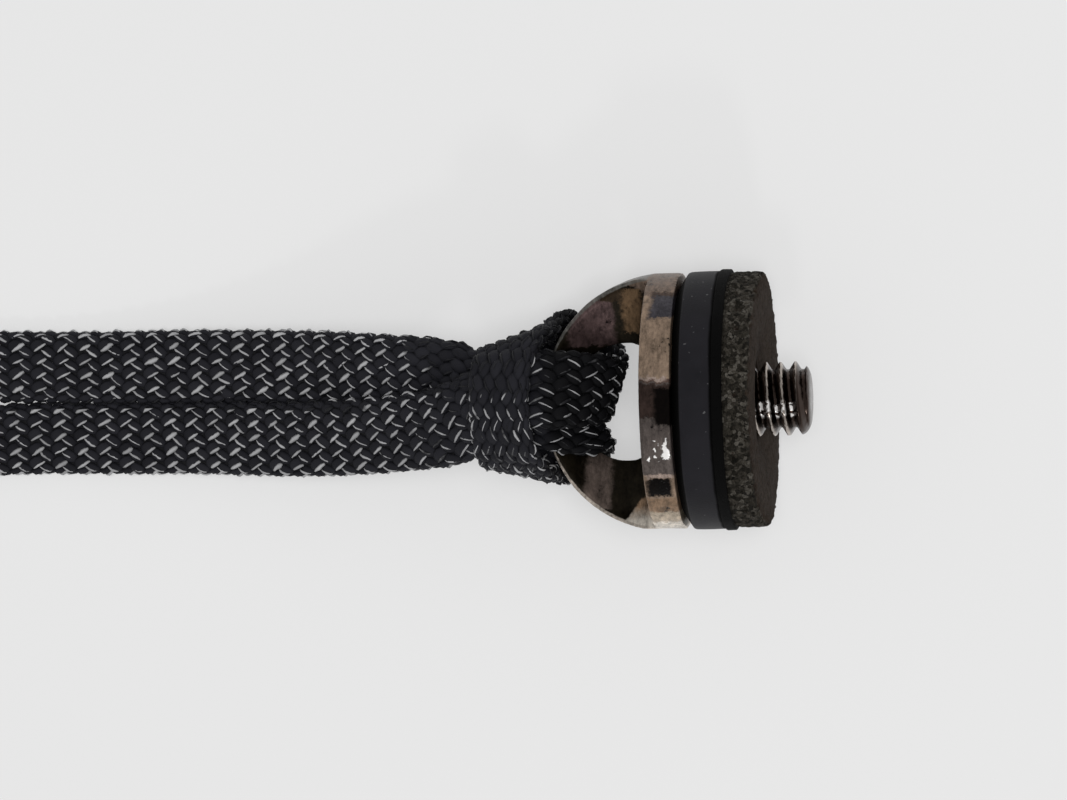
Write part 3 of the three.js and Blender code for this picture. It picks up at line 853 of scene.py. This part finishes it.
def loop_rows(y_sign, lap_offset):
    """Rows of the strand on the table, from its lapped end to the start of its leg."""
    def row(x, y, lean_degrees):
        lean = math.radians(lean_degrees)
        rest = (STRAP_WIDTH - STRAP_THICK) / 2 * math.sin(lean) + STRAP_THICK / 2
        return (x, y, rest - AXIS_HEIGHT, 0, math.cos(lean), y_sign * math.sin(lean),
                STRAP_WIDTH, STRAP_THICK)

    rows = []
    for degrees in range(-LAP_HALF_ANGLE, 91, LOOP_STEP_DEGREES):
        angle = math.radians(degrees)
        blend = eased((degrees - LAP_HALF_ANGLE) / LAP_BLEND_ANGLE)
        radius = LOOP_RADIUS + lap_offset * (1 - blend)
        rows.append(row(LOOP_CENTRE_X - radius * math.cos(angle),
                        y_sign * radius * math.sin(angle), 90))
    for i in range(1, SIDE_ROWS + 1):
        share = i / SIDE_ROWS
        x = LOOP_CENTRE_X + (RUN_START_X - LOOP_CENTRE_X) * share
        y = LOOP_RADIUS + (RUN_Y - LOOP_RADIUS) * eased(share)
        twist = eased((share - ON_EDGE_SHARE) / (1 - ON_EDGE_SHARE))
        rows.append(row(x, y_sign * y, 90 * (1 - twist)))
    return rows


def turned_back(rows):
    """The same rows walked the other way, with the same face still outward."""
    return [(x, y, z, -a, -b, -c, width, thick) for x, y, z, a, b, c, width, thick in rows[::-1]]


back_strand = loop_rows(1, -LAP_OFFSET) + BACK_LEG
front_strand = loop_rows(-1, LAP_OFFSET) + FRONT_LEG
ROWS = np.array(back_strand + COLLAR + turned_back(front_strand), float)
print("rows in the route:", len(ROWS))

# %% [markdown]
# Smooth curves run through the rows. The point's curve is centripetal, which does not
# overshoot where rows lie close together in the hitch. The result is sampled finely and
# kept with its running length, so that anything drawn flat can be laid on the strap.

# %% Sample the route
def curve_through(points, times, knot_power):
    """Catmull-Rom positions and slopes. knot_power 0.5 is centripetal, 0 is uniform."""
    ends = np.vstack([2 * points[0] - points[1], points, 2 * points[-1] - points[-2]])
    start = np.minimum(np.floor(times).astype(int), len(points) - 2)
    share = (times - start)[:, None]
    p0, p1, p2, p3 = (ends[start + i] for i in range(4))
    d0, d1, d2 = (np.maximum(np.linalg.norm(b - a, axis=1, keepdims=True), 1e-6) ** knot_power
                  for a, b in ((p0, p1), (p1, p2), (p2, p3)))
    slope_1 = ((p1 - p0) / d0 - (p2 - p0) / (d0 + d1) + (p2 - p1) / d1) * d1
    slope_2 = ((p2 - p1) / d1 - (p3 - p1) / (d1 + d2) + (p3 - p2) / d2) * d1
    bend = 2 * p1 - 2 * p2 + slope_1 + slope_2
    lift = -3 * p1 + 3 * p2 - 2 * slope_1 - slope_2
    position = p1 + slope_1 * share + lift * share**2 + bend * share**3
    return position, slope_1 + 2 * lift * share + 3 * bend * share**2


def unit(vectors):
    return vectors / np.linalg.norm(vectors, axis=1, keepdims=True)


SAMPLES_PER_ROW = 24
times = np.linspace(0, len(ROWS) - 1, (len(ROWS) - 1) * SAMPLES_PER_ROW + 1)
middle, slope = curve_through(ROWS[:, :3], times, 0.5)
tangent = unit(slope)
side, _ = curve_through(ROWS[:, 3:6], times, 0.0)
across = unit(side - tangent * np.sum(side * tangent, axis=1, keepdims=True))
up = np.cross(tangent, across)
half_sizes = np.column_stack([np.interp(times, np.arange(len(ROWS)), ROWS[:, 6 + i] / 2)
                              for i in range(2)])
along = np.concatenate([[0], np.cumsum(np.linalg.norm(np.diff(middle, axis=0), axis=1))])
STRAP_LENGTH = along[-1]
collar_row = len(back_strand)
COLLAR_AT = along[collar_row * SAMPLES_PER_ROW]
print("strap length in mm:", round(STRAP_LENGTH, 1), "collar at:", round(COLLAR_AT, 1))

# %% [markdown]
# Braid and stitches are drawn flat, with a length along the strap, a share of the way round
# it and a height over its skin. One function bends them onto the route. It finds the
# strap's section at that length, and walks round it: two flats and two round edges.

# %% Lay flat points on the strap
def on_strap(length_at, round_share, height):
    """Frame points for places given by length, share of the way round, and height.

    The strap's section is a flat oval. The way round starts in the middle of its upper
    face and goes towards the across direction. Height is measured out of the oval.
    """
    columns = np.column_stack([middle, across, up, half_sizes])
    found = np.column_stack([np.interp(length_at, along, column) for column in columns.T])
    centre, side_way, up_way = found[:, :3], unit(found[:, 3:6]), unit(found[:, 6:9])
    half_width, half_thick = found[:, 9], found[:, 10]
    flat = half_width - half_thick
    arc = math.pi * half_thick
    way = (round_share % 1.0) * (4 * flat + 2 * arc)
    first, second, third = flat, flat + arc, 3 * flat + arc
    on_arc_1 = (way >= first) & (way < second)
    on_back = (way >= second) & (way < third)
    on_arc_2 = (way >= third) & (way < third + arc)
    angle = np.where(on_arc_1, math.pi / 2 - (way - first) / half_thick, math.pi / 2)
    angle = np.where(on_back, -math.pi / 2, angle)
    angle = np.where(on_arc_2, -math.pi / 2 - (way - third) / half_thick, angle)
    flat_at = np.where(way < first, way, way - (4 * flat + 2 * arc))
    flat_at = np.where(on_arc_1, flat, np.where(on_back, flat - (way - second), flat_at))
    flat_at = np.where(on_arc_2, -flat, flat_at)
    reach = half_thick + height
    points = (centre + side_way * (flat_at + reach * np.cos(angle))[:, None]
              + up_way * (reach * np.sin(angle))[:, None])
    return points * MM + np.array(HEAD)


# %% [markdown]
# ## Braid
#
# A machine braids the flat tube from two families of yarns that wind opposite ways and
# pass over and under each other one at a time. So the outside is a chequer of short
# floats: one leans one way, the next the other way. Each yarn has a grey tracer thread on
# it. One cell of the braid has a float of each family and its tracer.

# %% Sizes of one cell
CELLS_ROUND = 12
CELL_PITCH = 2.25
CELLS_LONG = round(STRAP_LENGTH / CELL_PITCH)
CELL_LONG = STRAP_LENGTH / CELLS_LONG
PERIMETER = 4 * (STRAP_WIDTH - STRAP_THICK) / 2 + math.pi * STRAP_THICK
CELL_WIDE = PERIMETER / CELLS_ROUND
LEAN = math.atan2(CELL_WIDE, CELL_LONG)
print("cell:", round(CELL_LONG, 3), "x", round(CELL_WIDE, 3), "mm, lean",
      round(math.degrees(LEAN), 1))

# In millimetres. offset and shift are across the strand's yarn and along it, and bend is how
# fast it dives. taper thickens one end, and a fullness under 1 fills out both ends.
YARN = {"half_long": 0.86, "half_wide": 0.57, "half_thick": 0.3, "height": -0.27,
        "bend": 0.42, "offset": 0.0, "shift": 0.0, "taper": 0.0, "fullness": 0.72}
THICK_TRACER = {"half_long": 0.68, "half_wide": 0.175, "half_thick": 0.11, "height": -0.03,
                "bend": 0.5, "offset": -0.35, "shift": 0.16, "taper": 0.3, "fullness": 0.6}
THIN_TRACER = {"half_long": 0.68, "half_wide": 0.1, "half_thick": 0.1, "height": 0.02,
               "bend": 0.5, "offset": -0.1, "shift": -0.12, "taper": 0.0, "fullness": 0.6}


# %% [markdown]
# A float is a sphere of few sides, pulled out to a lozenge and bent down at both ends, so
# that its poles hide under the next yarns. Thousands of them are needed, so each has only
# a few dozen faces.

# %% Strands of one cell
def add_strand(bm, middle_at, lean, sizes, sides, rings, slot_index):
    """A bent lozenge, drawn flat. Its poles are the ends that dive under the next yarn.

    Returns its points, and for each of them the height of the strand's middle line there.
    """
    spine = []
    made = bmesh.ops.create_uvsphere(bm, u_segments=sides, v_segments=rings, radius=1,
                                     calc_uvs=True)
    for vert in made["verts"]:
        pole, wide, high = vert.co.z, vert.co.x, vert.co.y
        girth = math.hypot(wide, high)
        swell = girth ** (sizes["fullness"] - 1) if girth > 1e-6 else 1
        swell *= 1 + sizes["taper"] * pole
        length = sizes["shift"] + pole * sizes["half_long"]
        offset = sizes["offset"] + wide * swell * sizes["half_wide"]
        spine.append(sizes["height"] - sizes["bend"] * length**2)
        height = spine[-1] + high * swell * sizes["half_thick"]
        vert.co = (middle_at[0] + length * math.cos(lean) - offset * math.sin(lean),
                   middle_at[1] + length * math.sin(lean) + offset * math.cos(lean), height)
    for face in {face for vert in made["verts"] for face in vert.link_faces}:
        face.material_index = slot_index
    return made["verts"], spine


def braid_cell(tracer_side):
    """Two yarns and their tracers, and the lean and the spine of each.

    tracer_side is 1, or -1 to lay the tracers on the other edge of their yarns. A new
    sphere may take the places of points that an earlier one freed, so the points are
    sorted to keep each strand's together.
    """
    bm = bmesh.new()
    strands, points = [], []
    for middle_at, lean, tracer in (((0.0, 0.0), LEAN, THICK_TRACER),
                                    ((CELL_LONG / 2, CELL_WIDE / 2), -LEAN, THIN_TRACER)):
        sided = {key: tracer[key] * tracer_side for key in ("offset", "shift", "taper")}
        for kind in ((YARN, 8, 5, 0), (tracer | sided, 4, 6, 1)):
            verts, spine = add_strand(bm, middle_at, lean, *kind)
            points += verts
            strands.append((lean, spine))
    for number, vert in enumerate(points):
        vert.index = number
    bm.verts.sort()
    return bm, strands


# %% [markdown]
# A real braid is never as even as an array. Each float is turned, stretched and shifted by
# chance, and the tracers' points are frayed. In the hitch the strap is pulled tight, so the
# black yarns spread and the tracers are drawn thin. Each strand also gets a number called
# tone, which its material reads, so that neighbours have different greys.

# %% Chance in the braid
# Turns are in radians, STRAY and FRAYED in millimetres, and the rest are shares.
YARN_TURN, TRACER_TURN = 0.02, 0.07
STRAY, FRAYED = 0.025, 0.022
TRACER_LENGTHS, TRACER_WIDTHS = (0.85, 1.12), (0.65, 1.3)
PRESSED_THINNER, PRESSED_WIDER = 0.35, 0.12


def vary(flat, strands, pressed, draws):
    """A small turn, stretch and shift for each strand of each cell, and its tone.

    flat is an array of cells, points and coordinates, and is changed in place. pressed is
    1 for a cell in the hitch and 0 for one in the runs. draws gives the random numbers.
    """
    tones = np.empty(flat.shape[:2])
    pressed = pressed[:, None]
    first = 0
    for number, (lean, spine) in enumerate(strands):
        is_tracer = number % 2 == 1
        cells, count = len(flat), len(spine)
        strand = flat[:, first:first + count]
        middle_of = strand.mean(axis=1, keepdims=True)
        turn = draws.normal(0, TRACER_TURN if is_tracer else YARN_TURN, (cells, 1))
        longer = wider = 1 + PRESSED_WIDER * pressed
        if is_tracer:
            longer = draws.uniform(*TRACER_LENGTHS, (cells, 1))
            wider = draws.uniform(*TRACER_WIDTHS, (cells, 1)) * (1 - PRESSED_THINNER * pressed)
            strand[:, :, 2] = spine + (strand[:, :, 2] - spine) * wider
            strand += draws.normal(0, FRAYED, strand.shape)
        x, y = np.moveaxis(strand[:, :, :2] - middle_of[:, :, :2], 2, 0)
        length = (x * math.cos(lean) + y * math.sin(lean)) * longer
        offset = (y * math.cos(lean) - x * math.sin(lean)) * wider
        angle = lean + turn
        strand[:, :, 0] = middle_of[:, :, 0] + length * np.cos(angle) - offset * np.sin(angle)
        strand[:, :, 1] = middle_of[:, :, 1] + length * np.sin(angle) + offset * np.cos(angle)
        strand += draws.normal(0, STRAY, (cells, 1, 3))
        tones[:, first:first + count] = draws.uniform(0, 1, (cells, 1))
        first += count
    return tones


# %% [markdown]
# Yarns and tracers are bundles of polyester filaments, so noise drawn out along their UVs
# makes fine lines. In the eye the yarns are painted nearly black, as painted shade where
# they lie deep in the hitch, and for grease. Dirt and painted shade hide many tracers: those
# in the hitch, most of all on its back side, towards +Y, and those in the seam where the two
# runs touch, where it is painted shade only.

# %% Finishes of the braid
YARN_DARK, YARN_LIGHT = (0.004, 0.004, 0.0055), (0.026, 0.026, 0.032)
YARN_IN_EYE = (0.002, 0.002, 0.002)
TRACER_DARK, TRACER_LIGHT = (0.13, 0.13, 0.135), (0.58, 0.58, 0.59)
TRACER_DIRT_AND_SHADE, TRACER_DULL = (0.012, 0.012, 0.014), (0.03, 0.03, 0.03)
SEAM_FROM_X, SEAM_TO_X, SEAM_Y = -75.0, -26.0, -0.12


def filament_lines(recipe, lines_across, lines_along):
    """Noise drawn out along a strand, from its UVs."""
    u, v, _ = recipe.split(recipe.add("TexCoord", output="UV"))
    lines = recipe.add("CombineXYZ", {}, {0: u * lines_across, 1: v * lines_along})
    return recipe.add("TexNoise", {}, {"Vector": lines, "Scale": 1.0, "Detail": 2.0})


def tone_of(recipe):
    return recipe.add("Attribute", {"attribute_name": "tone"}, output="Fac")


def yarn_recipe():
    yarn = Recipe("black_yarn", Specular_IOR_Level=0.15)
    filaments = filament_lines(yarn, 26.0, 2.0)
    point = yarn.head_point()
    x, _, _ = yarn.split(point)
    cloud = yarn.grain(point, 3.0, detail=2.0)
    black = yarn.mixed(0.4 * filaments + 0.3 * cloud + 0.3 * tone_of(yarn), YARN_DARK, YARN_LIGHT)
    # Painted shade and grease make the yarns in the eye nearly black.
    in_eye = yarn.step(x, -10.0, -8.0)
    yarn.feed(Base_Color=yarn.mixed(0.8 * in_eye, black, YARN_IN_EYE),
              Roughness=0.55 + 0.25 * cloud,
              Normal=yarn.bump(filaments, 0.05))
    return yarn


def tracer_recipe():
    tracer = Recipe("grey_tracer", Roughness=0.6, Specular_IOR_Level=0.3)
    filaments = filament_lines(tracer, 8.0, 5.0)
    tone = tone_of(tracer)
    point = tracer.head_point()
    x, y, _ = tracer.split(point)
    patches = tracer.grain(point, 0.8, detail=2.0)
    grey = tracer.mixed(0.4 * filaments + 0.3 * patches + 0.3 * tone, TRACER_DARK, TRACER_LIGHT)
    in_hitch = tracer.step(x, -25.0, -18.0)
    in_eye = tracer.step(x, -10.5, -8.5)
    back_side = tracer.step(y, 0.8, 2.2) * (1 - in_eye) + tracer.step(y, 4.4, 5.2)
    from_seam = ((y - SEAM_Y) ** 2) ** 0.5
    in_seam = 1 - tracer.step(from_seam, 0.3, 0.65)
    # Dirt and painted shade in the hitch, most on its back side, and painted shade in the seam.
    dirt_and_shade = in_hitch * (0.3 + 0.12 * in_eye + 0.6 * back_side)
    dirt_and_shade = dirt_and_shade + in_seam * tracer.between(x, SEAM_FROM_X, SEAM_TO_X, 2.0)
    tracer_shows = tracer.step(0.6 * tone + 0.4 * patches, dirt_and_shade - 0.1, dirt_and_shade + 0.15)
    # The hitch's tracers are dulled a little, as painted shade and dirt.
    grey = tracer.mixed(0.1 * in_hitch, grey, TRACER_DULL)
    tracer.feed(Base_Color=tracer.mixed(tracer_shows, TRACER_DIRT_AND_SHADE, grey),
                Normal=tracer.bump(filaments, 0.03))
    return tracer


# %% [markdown]
# Array modifiers repeat the cell round and along, and the result is laid on the strap. It
# is made in six pieces, to keep each one light. Past the collar the strap runs back the
# other way, so there the tracers lie on the other edge of their yarns. The back run is the
# one towards +Y, and the front run the one towards -Y.

# %% Repeat the cell and lay the braid
BRAID_PIECES = 6
HITCH_LENGTH, HITCH_BORDER = 47, 6
FIRST_CELL_AT = 0.25
# How far the braid is turned round the strap, in cells, on the back and the front run.
TURN_ON_BACK, TURN_ON_FRONT = 0.62, 0.69
TURN_REACH = 40
yarn_and_tracer = [yarn_recipe(), tracer_recipe()]
random_numbers = np.random.default_rng(seed=5)


def flat_braid(name, cells, tracer_side):
    """The cell repeated round and along, still flat, and the strands of one cell."""
    mesh = bpy.data.meshes.new(name)
    bm, strands = braid_cell(tracer_side)
    bm.to_mesh(mesh)
    bm.free()
    piece = link_object(name, mesh)
    for count, step in ((CELLS_ROUND, (0, CELL_WIDE, 0)), (cells, (CELL_LONG, 0, 0))):
        modify(piece, "ARRAY", count=count, use_relative_offset=False,
               use_constant_offset=True, constant_offset_displace=step)
    return piece, strands


def braid_piece(name, first_cell, cells, tracer_side):
    piece, strands = flat_braid(name, cells, tracer_side)
    verts = piece.data.vertices
    flat = np.empty(len(verts) * 3)
    verts.foreach_get("co", flat)
    flat = flat.reshape(cells * CELLS_ROUND, -1, 3)
    cell_at = (first_cell + np.repeat(np.arange(cells), CELLS_ROUND)) * CELL_LONG
    from_collar = np.abs(cell_at - COLLAR_AT)
    hitch_border = [HITCH_LENGTH - HITCH_BORDER, HITCH_LENGTH + HITCH_BORDER]
    tones = vary(flat, strands, np.interp(from_collar, hitch_border, [1, 0]), random_numbers)
    piece.data.attributes.new("tone", "FLOAT", "POINT").data.foreach_set("value", tones.ravel())
    flat[:, :, 0] += (first_cell + FIRST_CELL_AT) * CELL_LONG
    length_at, way, height = flat.reshape(-1, 3).T
    turn = np.interp(length_at, [COLLAR_AT - TURN_REACH, COLLAR_AT + TURN_REACH],
                     [TURN_ON_BACK, TURN_ON_FRONT])
    places = on_strap(length_at, way / PERIMETER + turn / CELLS_ROUND, height)
    verts.foreach_set("co", places.ravel())
    piece.data.update()
    return finish_piece(piece, "braided_strap", yarn_and_tracer)


collar_cell = round(COLLAR_AT / CELL_LONG)
pieces_each_way = BRAID_PIECES // 2
ends = [round(i * collar_cell / pieces_each_way) for i in range(pieces_each_way)]
ends += [collar_cell + round(i * (CELLS_LONG - collar_cell) / pieces_each_way)
         for i in range(pieces_each_way + 1)]
for number in range(BRAID_PIECES):
    first, last = ends[number], ends[number + 1]
    side_of_yarn = 1 if number < pieces_each_way else -1
    braid_piece(f"braid_{number + 1}", first, last - first, side_of_yarn)

# %% [markdown]
# A dark core tube lies under the floats and closes the gaps between them. It is darker than
# the yarns, as painted shade in those gaps. A cut braid frays, so real ones are cut with a
# hot knife that melts the yarns together. There the core swells over the yarns and makes a
# rough black edge.

# %% The core and its melted ends
CORE_HEIGHT = -0.36
CORE_SIDES = 28
CORE_STEP, EVEN_ROWS_FROM = 0.9, 2.0
MELTED_LENGTH, MELTED_HEIGHT, MELTED_LUMPS, MELTED_BORDER = 1.3, 0.1, 0.08, 0.3
ROUNDED_LENGTH, ROUNDED_DEPTH = 0.25, 0.35
# Darker than the yarns: painted shade in the gaps between floats.
CORE_DARK, CORE_LIGHT = (0.003, 0.003, 0.004), (0.009, 0.009, 0.01)


def core_lengths():
    """Places of the core's rows, which are closer together in the melted ends."""
    end_rows = np.array([0.0, 0.08, 0.25, 0.5, 0.75, 1.0, 1.25, 1.5])
    even_rows = np.linspace(EVEN_ROWS_FROM, STRAP_LENGTH - EVEN_ROWS_FROM,
                            int(STRAP_LENGTH / CORE_STEP))
    return np.concatenate([end_rows, even_rows, STRAP_LENGTH - end_rows[::-1]])


def core_height(length_at, share):
    """Height of the core over the yarns, with lumps where the braid is melted."""
    from_end = min(length_at, STRAP_LENGTH - length_at)
    melted = 1 - eased((from_end - MELTED_LENGTH) / MELTED_BORDER + 1)
    angle = 2 * math.pi * share
    place = Vector((length_at * 2, 5 * math.cos(angle), 5 * math.sin(angle)))
    rounding = ROUNDED_DEPTH * (1 - eased(from_end / ROUNDED_LENGTH))
    over_core = MELTED_HEIGHT - CORE_HEIGHT + MELTED_LUMPS * noise.noise(place) - rounding
    return CORE_HEIGHT + melted * over_core


def make_core():
    rows = core_lengths()
    lengths = np.repeat(rows, CORE_SIDES)
    shares = np.tile(np.arange(CORE_SIDES) / CORE_SIDES, len(rows))
    heights = np.array([core_height(*place) for place in zip(lengths, shares)])
    places = (on_strap(lengths, shares, heights) - np.array(HEAD)) / MM
    places = places.reshape(len(rows), CORE_SIDES, 3)
    return object_from(rolled(len(rows), CORE_SIDES, lambda row, k: places[row, k]), "strap_core")


def core_recipe():
    core = Recipe("braid_core", Roughness=0.9)
    cloud = core.grain(core.head_point(), 0.5)
    core.feed(Base_Color=core.mixed(cloud, CORE_DARK, CORE_LIGHT),
              Normal=core.bump(cloud, 0.1))
    return core


finish_piece(make_core(), "braided_strap", [core_recipe()])

# %% [markdown]
# ## Stitches
#
# At the far end of the loop the strap's two ends lie one on the other. Two bar tacks hold
# them: rows of short stitches across the strap, through both layers. Each stitch is a bent
# lozenge of thread that starts and ends inside the braid.

# %% Stitches through the lap
STITCH = {"half_long": 0.62, "half_wide": 0.13, "half_thick": 0.13, "height": 0.1,
          "bend": 0.55, "offset": 0.0, "shift": 0.0, "taper": 0.0, "fullness": 0.7}
TACK_PLACES = (0.23, 0.77)
STITCHES_IN_TACK = 9
STITCH_SPREAD = 2.3
THREAD_BLACK, THREAD_SHEEN = (0.006, 0.006, 0.007), (0.03, 0.03, 0.032)
INNER_LAP, OUTER_LAP = (math.radians(2 * LAP_HALF_ANGLE) * (LOOP_RADIUS + side * LAP_OFFSET)
                        for side in (-1, 1))


def thread_recipe():
    thread = Recipe("black_thread", Roughness=0.55, Specular_IOR_Level=0.3)
    lines = thread.grain(thread.head_point(), 0.12, detail=2.0)
    thread.feed(Base_Color=thread.mixed(lines, THREAD_BLACK, THREAD_SHEEN),
                Normal=thread.bump(lines, 0.04))
    return thread


def make_stitches():
    """Both tacks, on the inner face of the lap and on its outer face."""
    bm = bmesh.new()
    for place in TACK_PLACES:
        for i in range(STITCHES_IN_TACK):
            way = STITCH_SPREAD * (2 * i / (STITCHES_IN_TACK - 1) - 1)
            for middle_at in ((place * INNER_LAP, way),
                              (STRAP_LENGTH - (1 - place) * OUTER_LAP, way + PERIMETER / 2)):
                add_strand(bm, middle_at, 0.0, STITCH, 8, 8, 0)
    mesh = bpy.data.meshes.new("lap_stitches")
    bm.to_mesh(mesh)
    bm.free()
    flat = np.empty(len(mesh.vertices) * 3)
    mesh.vertices.foreach_get("co", flat)
    length_at, way, height = flat.reshape(-1, 3).T
    mesh.vertices.foreach_set("co", on_strap(length_at, way / PERIMETER, height).ravel())
    mesh.update()
    return link_object("lap_stitches", mesh)


finish_piece(make_stitches(), "braided_strap", [thread_recipe()])

# %% [markdown]
# ## Table, light and camera
#
# The table is a large pale sheet with some light of its own, like a light table, so the
# shadows stay weak and every dark edge stands out.

# %% Table
TABLE_SIZE = 4.0
SHEET_DARK, SHEET_LIGHT = (0.41, 0.41, 0.41), (0.43, 0.43, 0.43)
bpy.ops.mesh.primitive_plane_add(size=TABLE_SIZE, location=(0, 0, 0))
table = bpy.context.object
table.name = "table"
sheet = Recipe("lit_sheet", Roughness=1.0, Specular_IOR_Level=0.0, Emission_Strength=0.4,
               Emission_Color=(1.0, 1.0, 1.0, 1.0))
sheet_cloud = sheet.grain(sheet.add("TexCoord", output="Object"), 0.4)
sheet.feed(Base_Color=sheet.mixed(sheet_cloud, SHEET_DARK, SHEET_LIGHT))
table.data.materials.append(sheet.material)
print("table in metres:", TABLE_SIZE)

# %% [markdown]
# A soft box overhead and a white world round it give the main light. The soft box doesn't
# show in shiny parts, because it would make the plating look like chrome. A small box off
# to one side does show, and puts a few glints on the metal.

# %% Light
WORLD_STRENGTH = 0.4
world = bpy.data.worlds.new("studio")
bpy.context.scene.world = world
world.use_nodes = True
background = world.node_tree.nodes["Background"]
background.inputs["Color"].default_value = (1.0, 1.0, 1.0, 1.0)
background.inputs["Strength"].default_value = WORLD_STRENGTH


def soft_box(name, place, size, watts, mirrored):
    """A square lamp that looks at the head. mirrored is whether shiny parts show it."""
    lamp = bpy.data.lights.new(name, "AREA")
    lamp.shape, lamp.size, lamp.energy = "SQUARE", size, watts
    box = link_object(name, lamp)
    box.location = HEAD + Vector(place)
    box.rotation_euler = Vector(place).to_track_quat("Z", "Y").to_euler()
    box.visible_glossy = mirrored
    print(name, "watts:", watts)


soft_box("key_box", place=(0.15, 0.09, 0.9), size=0.3, watts=4.6, mirrored=False)
soft_box("glint_box", place=(0.1, -0.5, 0.48), size=0.07, watts=0.4, mirrored=True)

# %% [markdown]
# The camera looks down on the hitch from a quarter of a metre with a long lens. It leans a
# little to the stud's side and is rolled a little. `back` points from what it looks at to
# the camera, and the camera's own right and up follow from it.

# %% Camera
CAMERA_DISTANCE = 0.25
CAMERA_TARGET_MM = (-10.71, 0.34, 0)
LEAN_X, LEAN_Y, ROLL = (math.radians(degrees) for degrees in (9.94, 6.02, -2.30))
LENS_MM, SENSOR_MM = 96.77, 36
target = HEAD + Vector(CAMERA_TARGET_MM) * MM
lean_x, lean_y = math.sin(LEAN_X), math.sin(LEAN_Y)
back = Vector((lean_x, lean_y, math.sqrt(1 - lean_x**2 - lean_y**2)))
camera_right = Vector((-math.sin(ROLL), math.cos(ROLL), 0)).cross(back).normalized()
camera_up = back.cross(camera_right)
camera_data = bpy.data.cameras.new("camera")
camera_data.lens, camera_data.sensor_width = LENS_MM, SENSOR_MM
camera_data.clip_start = 0.01
camera = link_object("camera", camera_data)
camera.matrix_world = Matrix.Translation(target + back * CAMERA_DISTANCE) @ Matrix(
    (camera_right, camera_up, back)).transposed().to_4x4()
bpy.context.scene.camera = camera
bpy.context.scene.view_settings.view_transform = "Standard"
print("camera looks at, in head mm:", CAMERA_TARGET_MM)
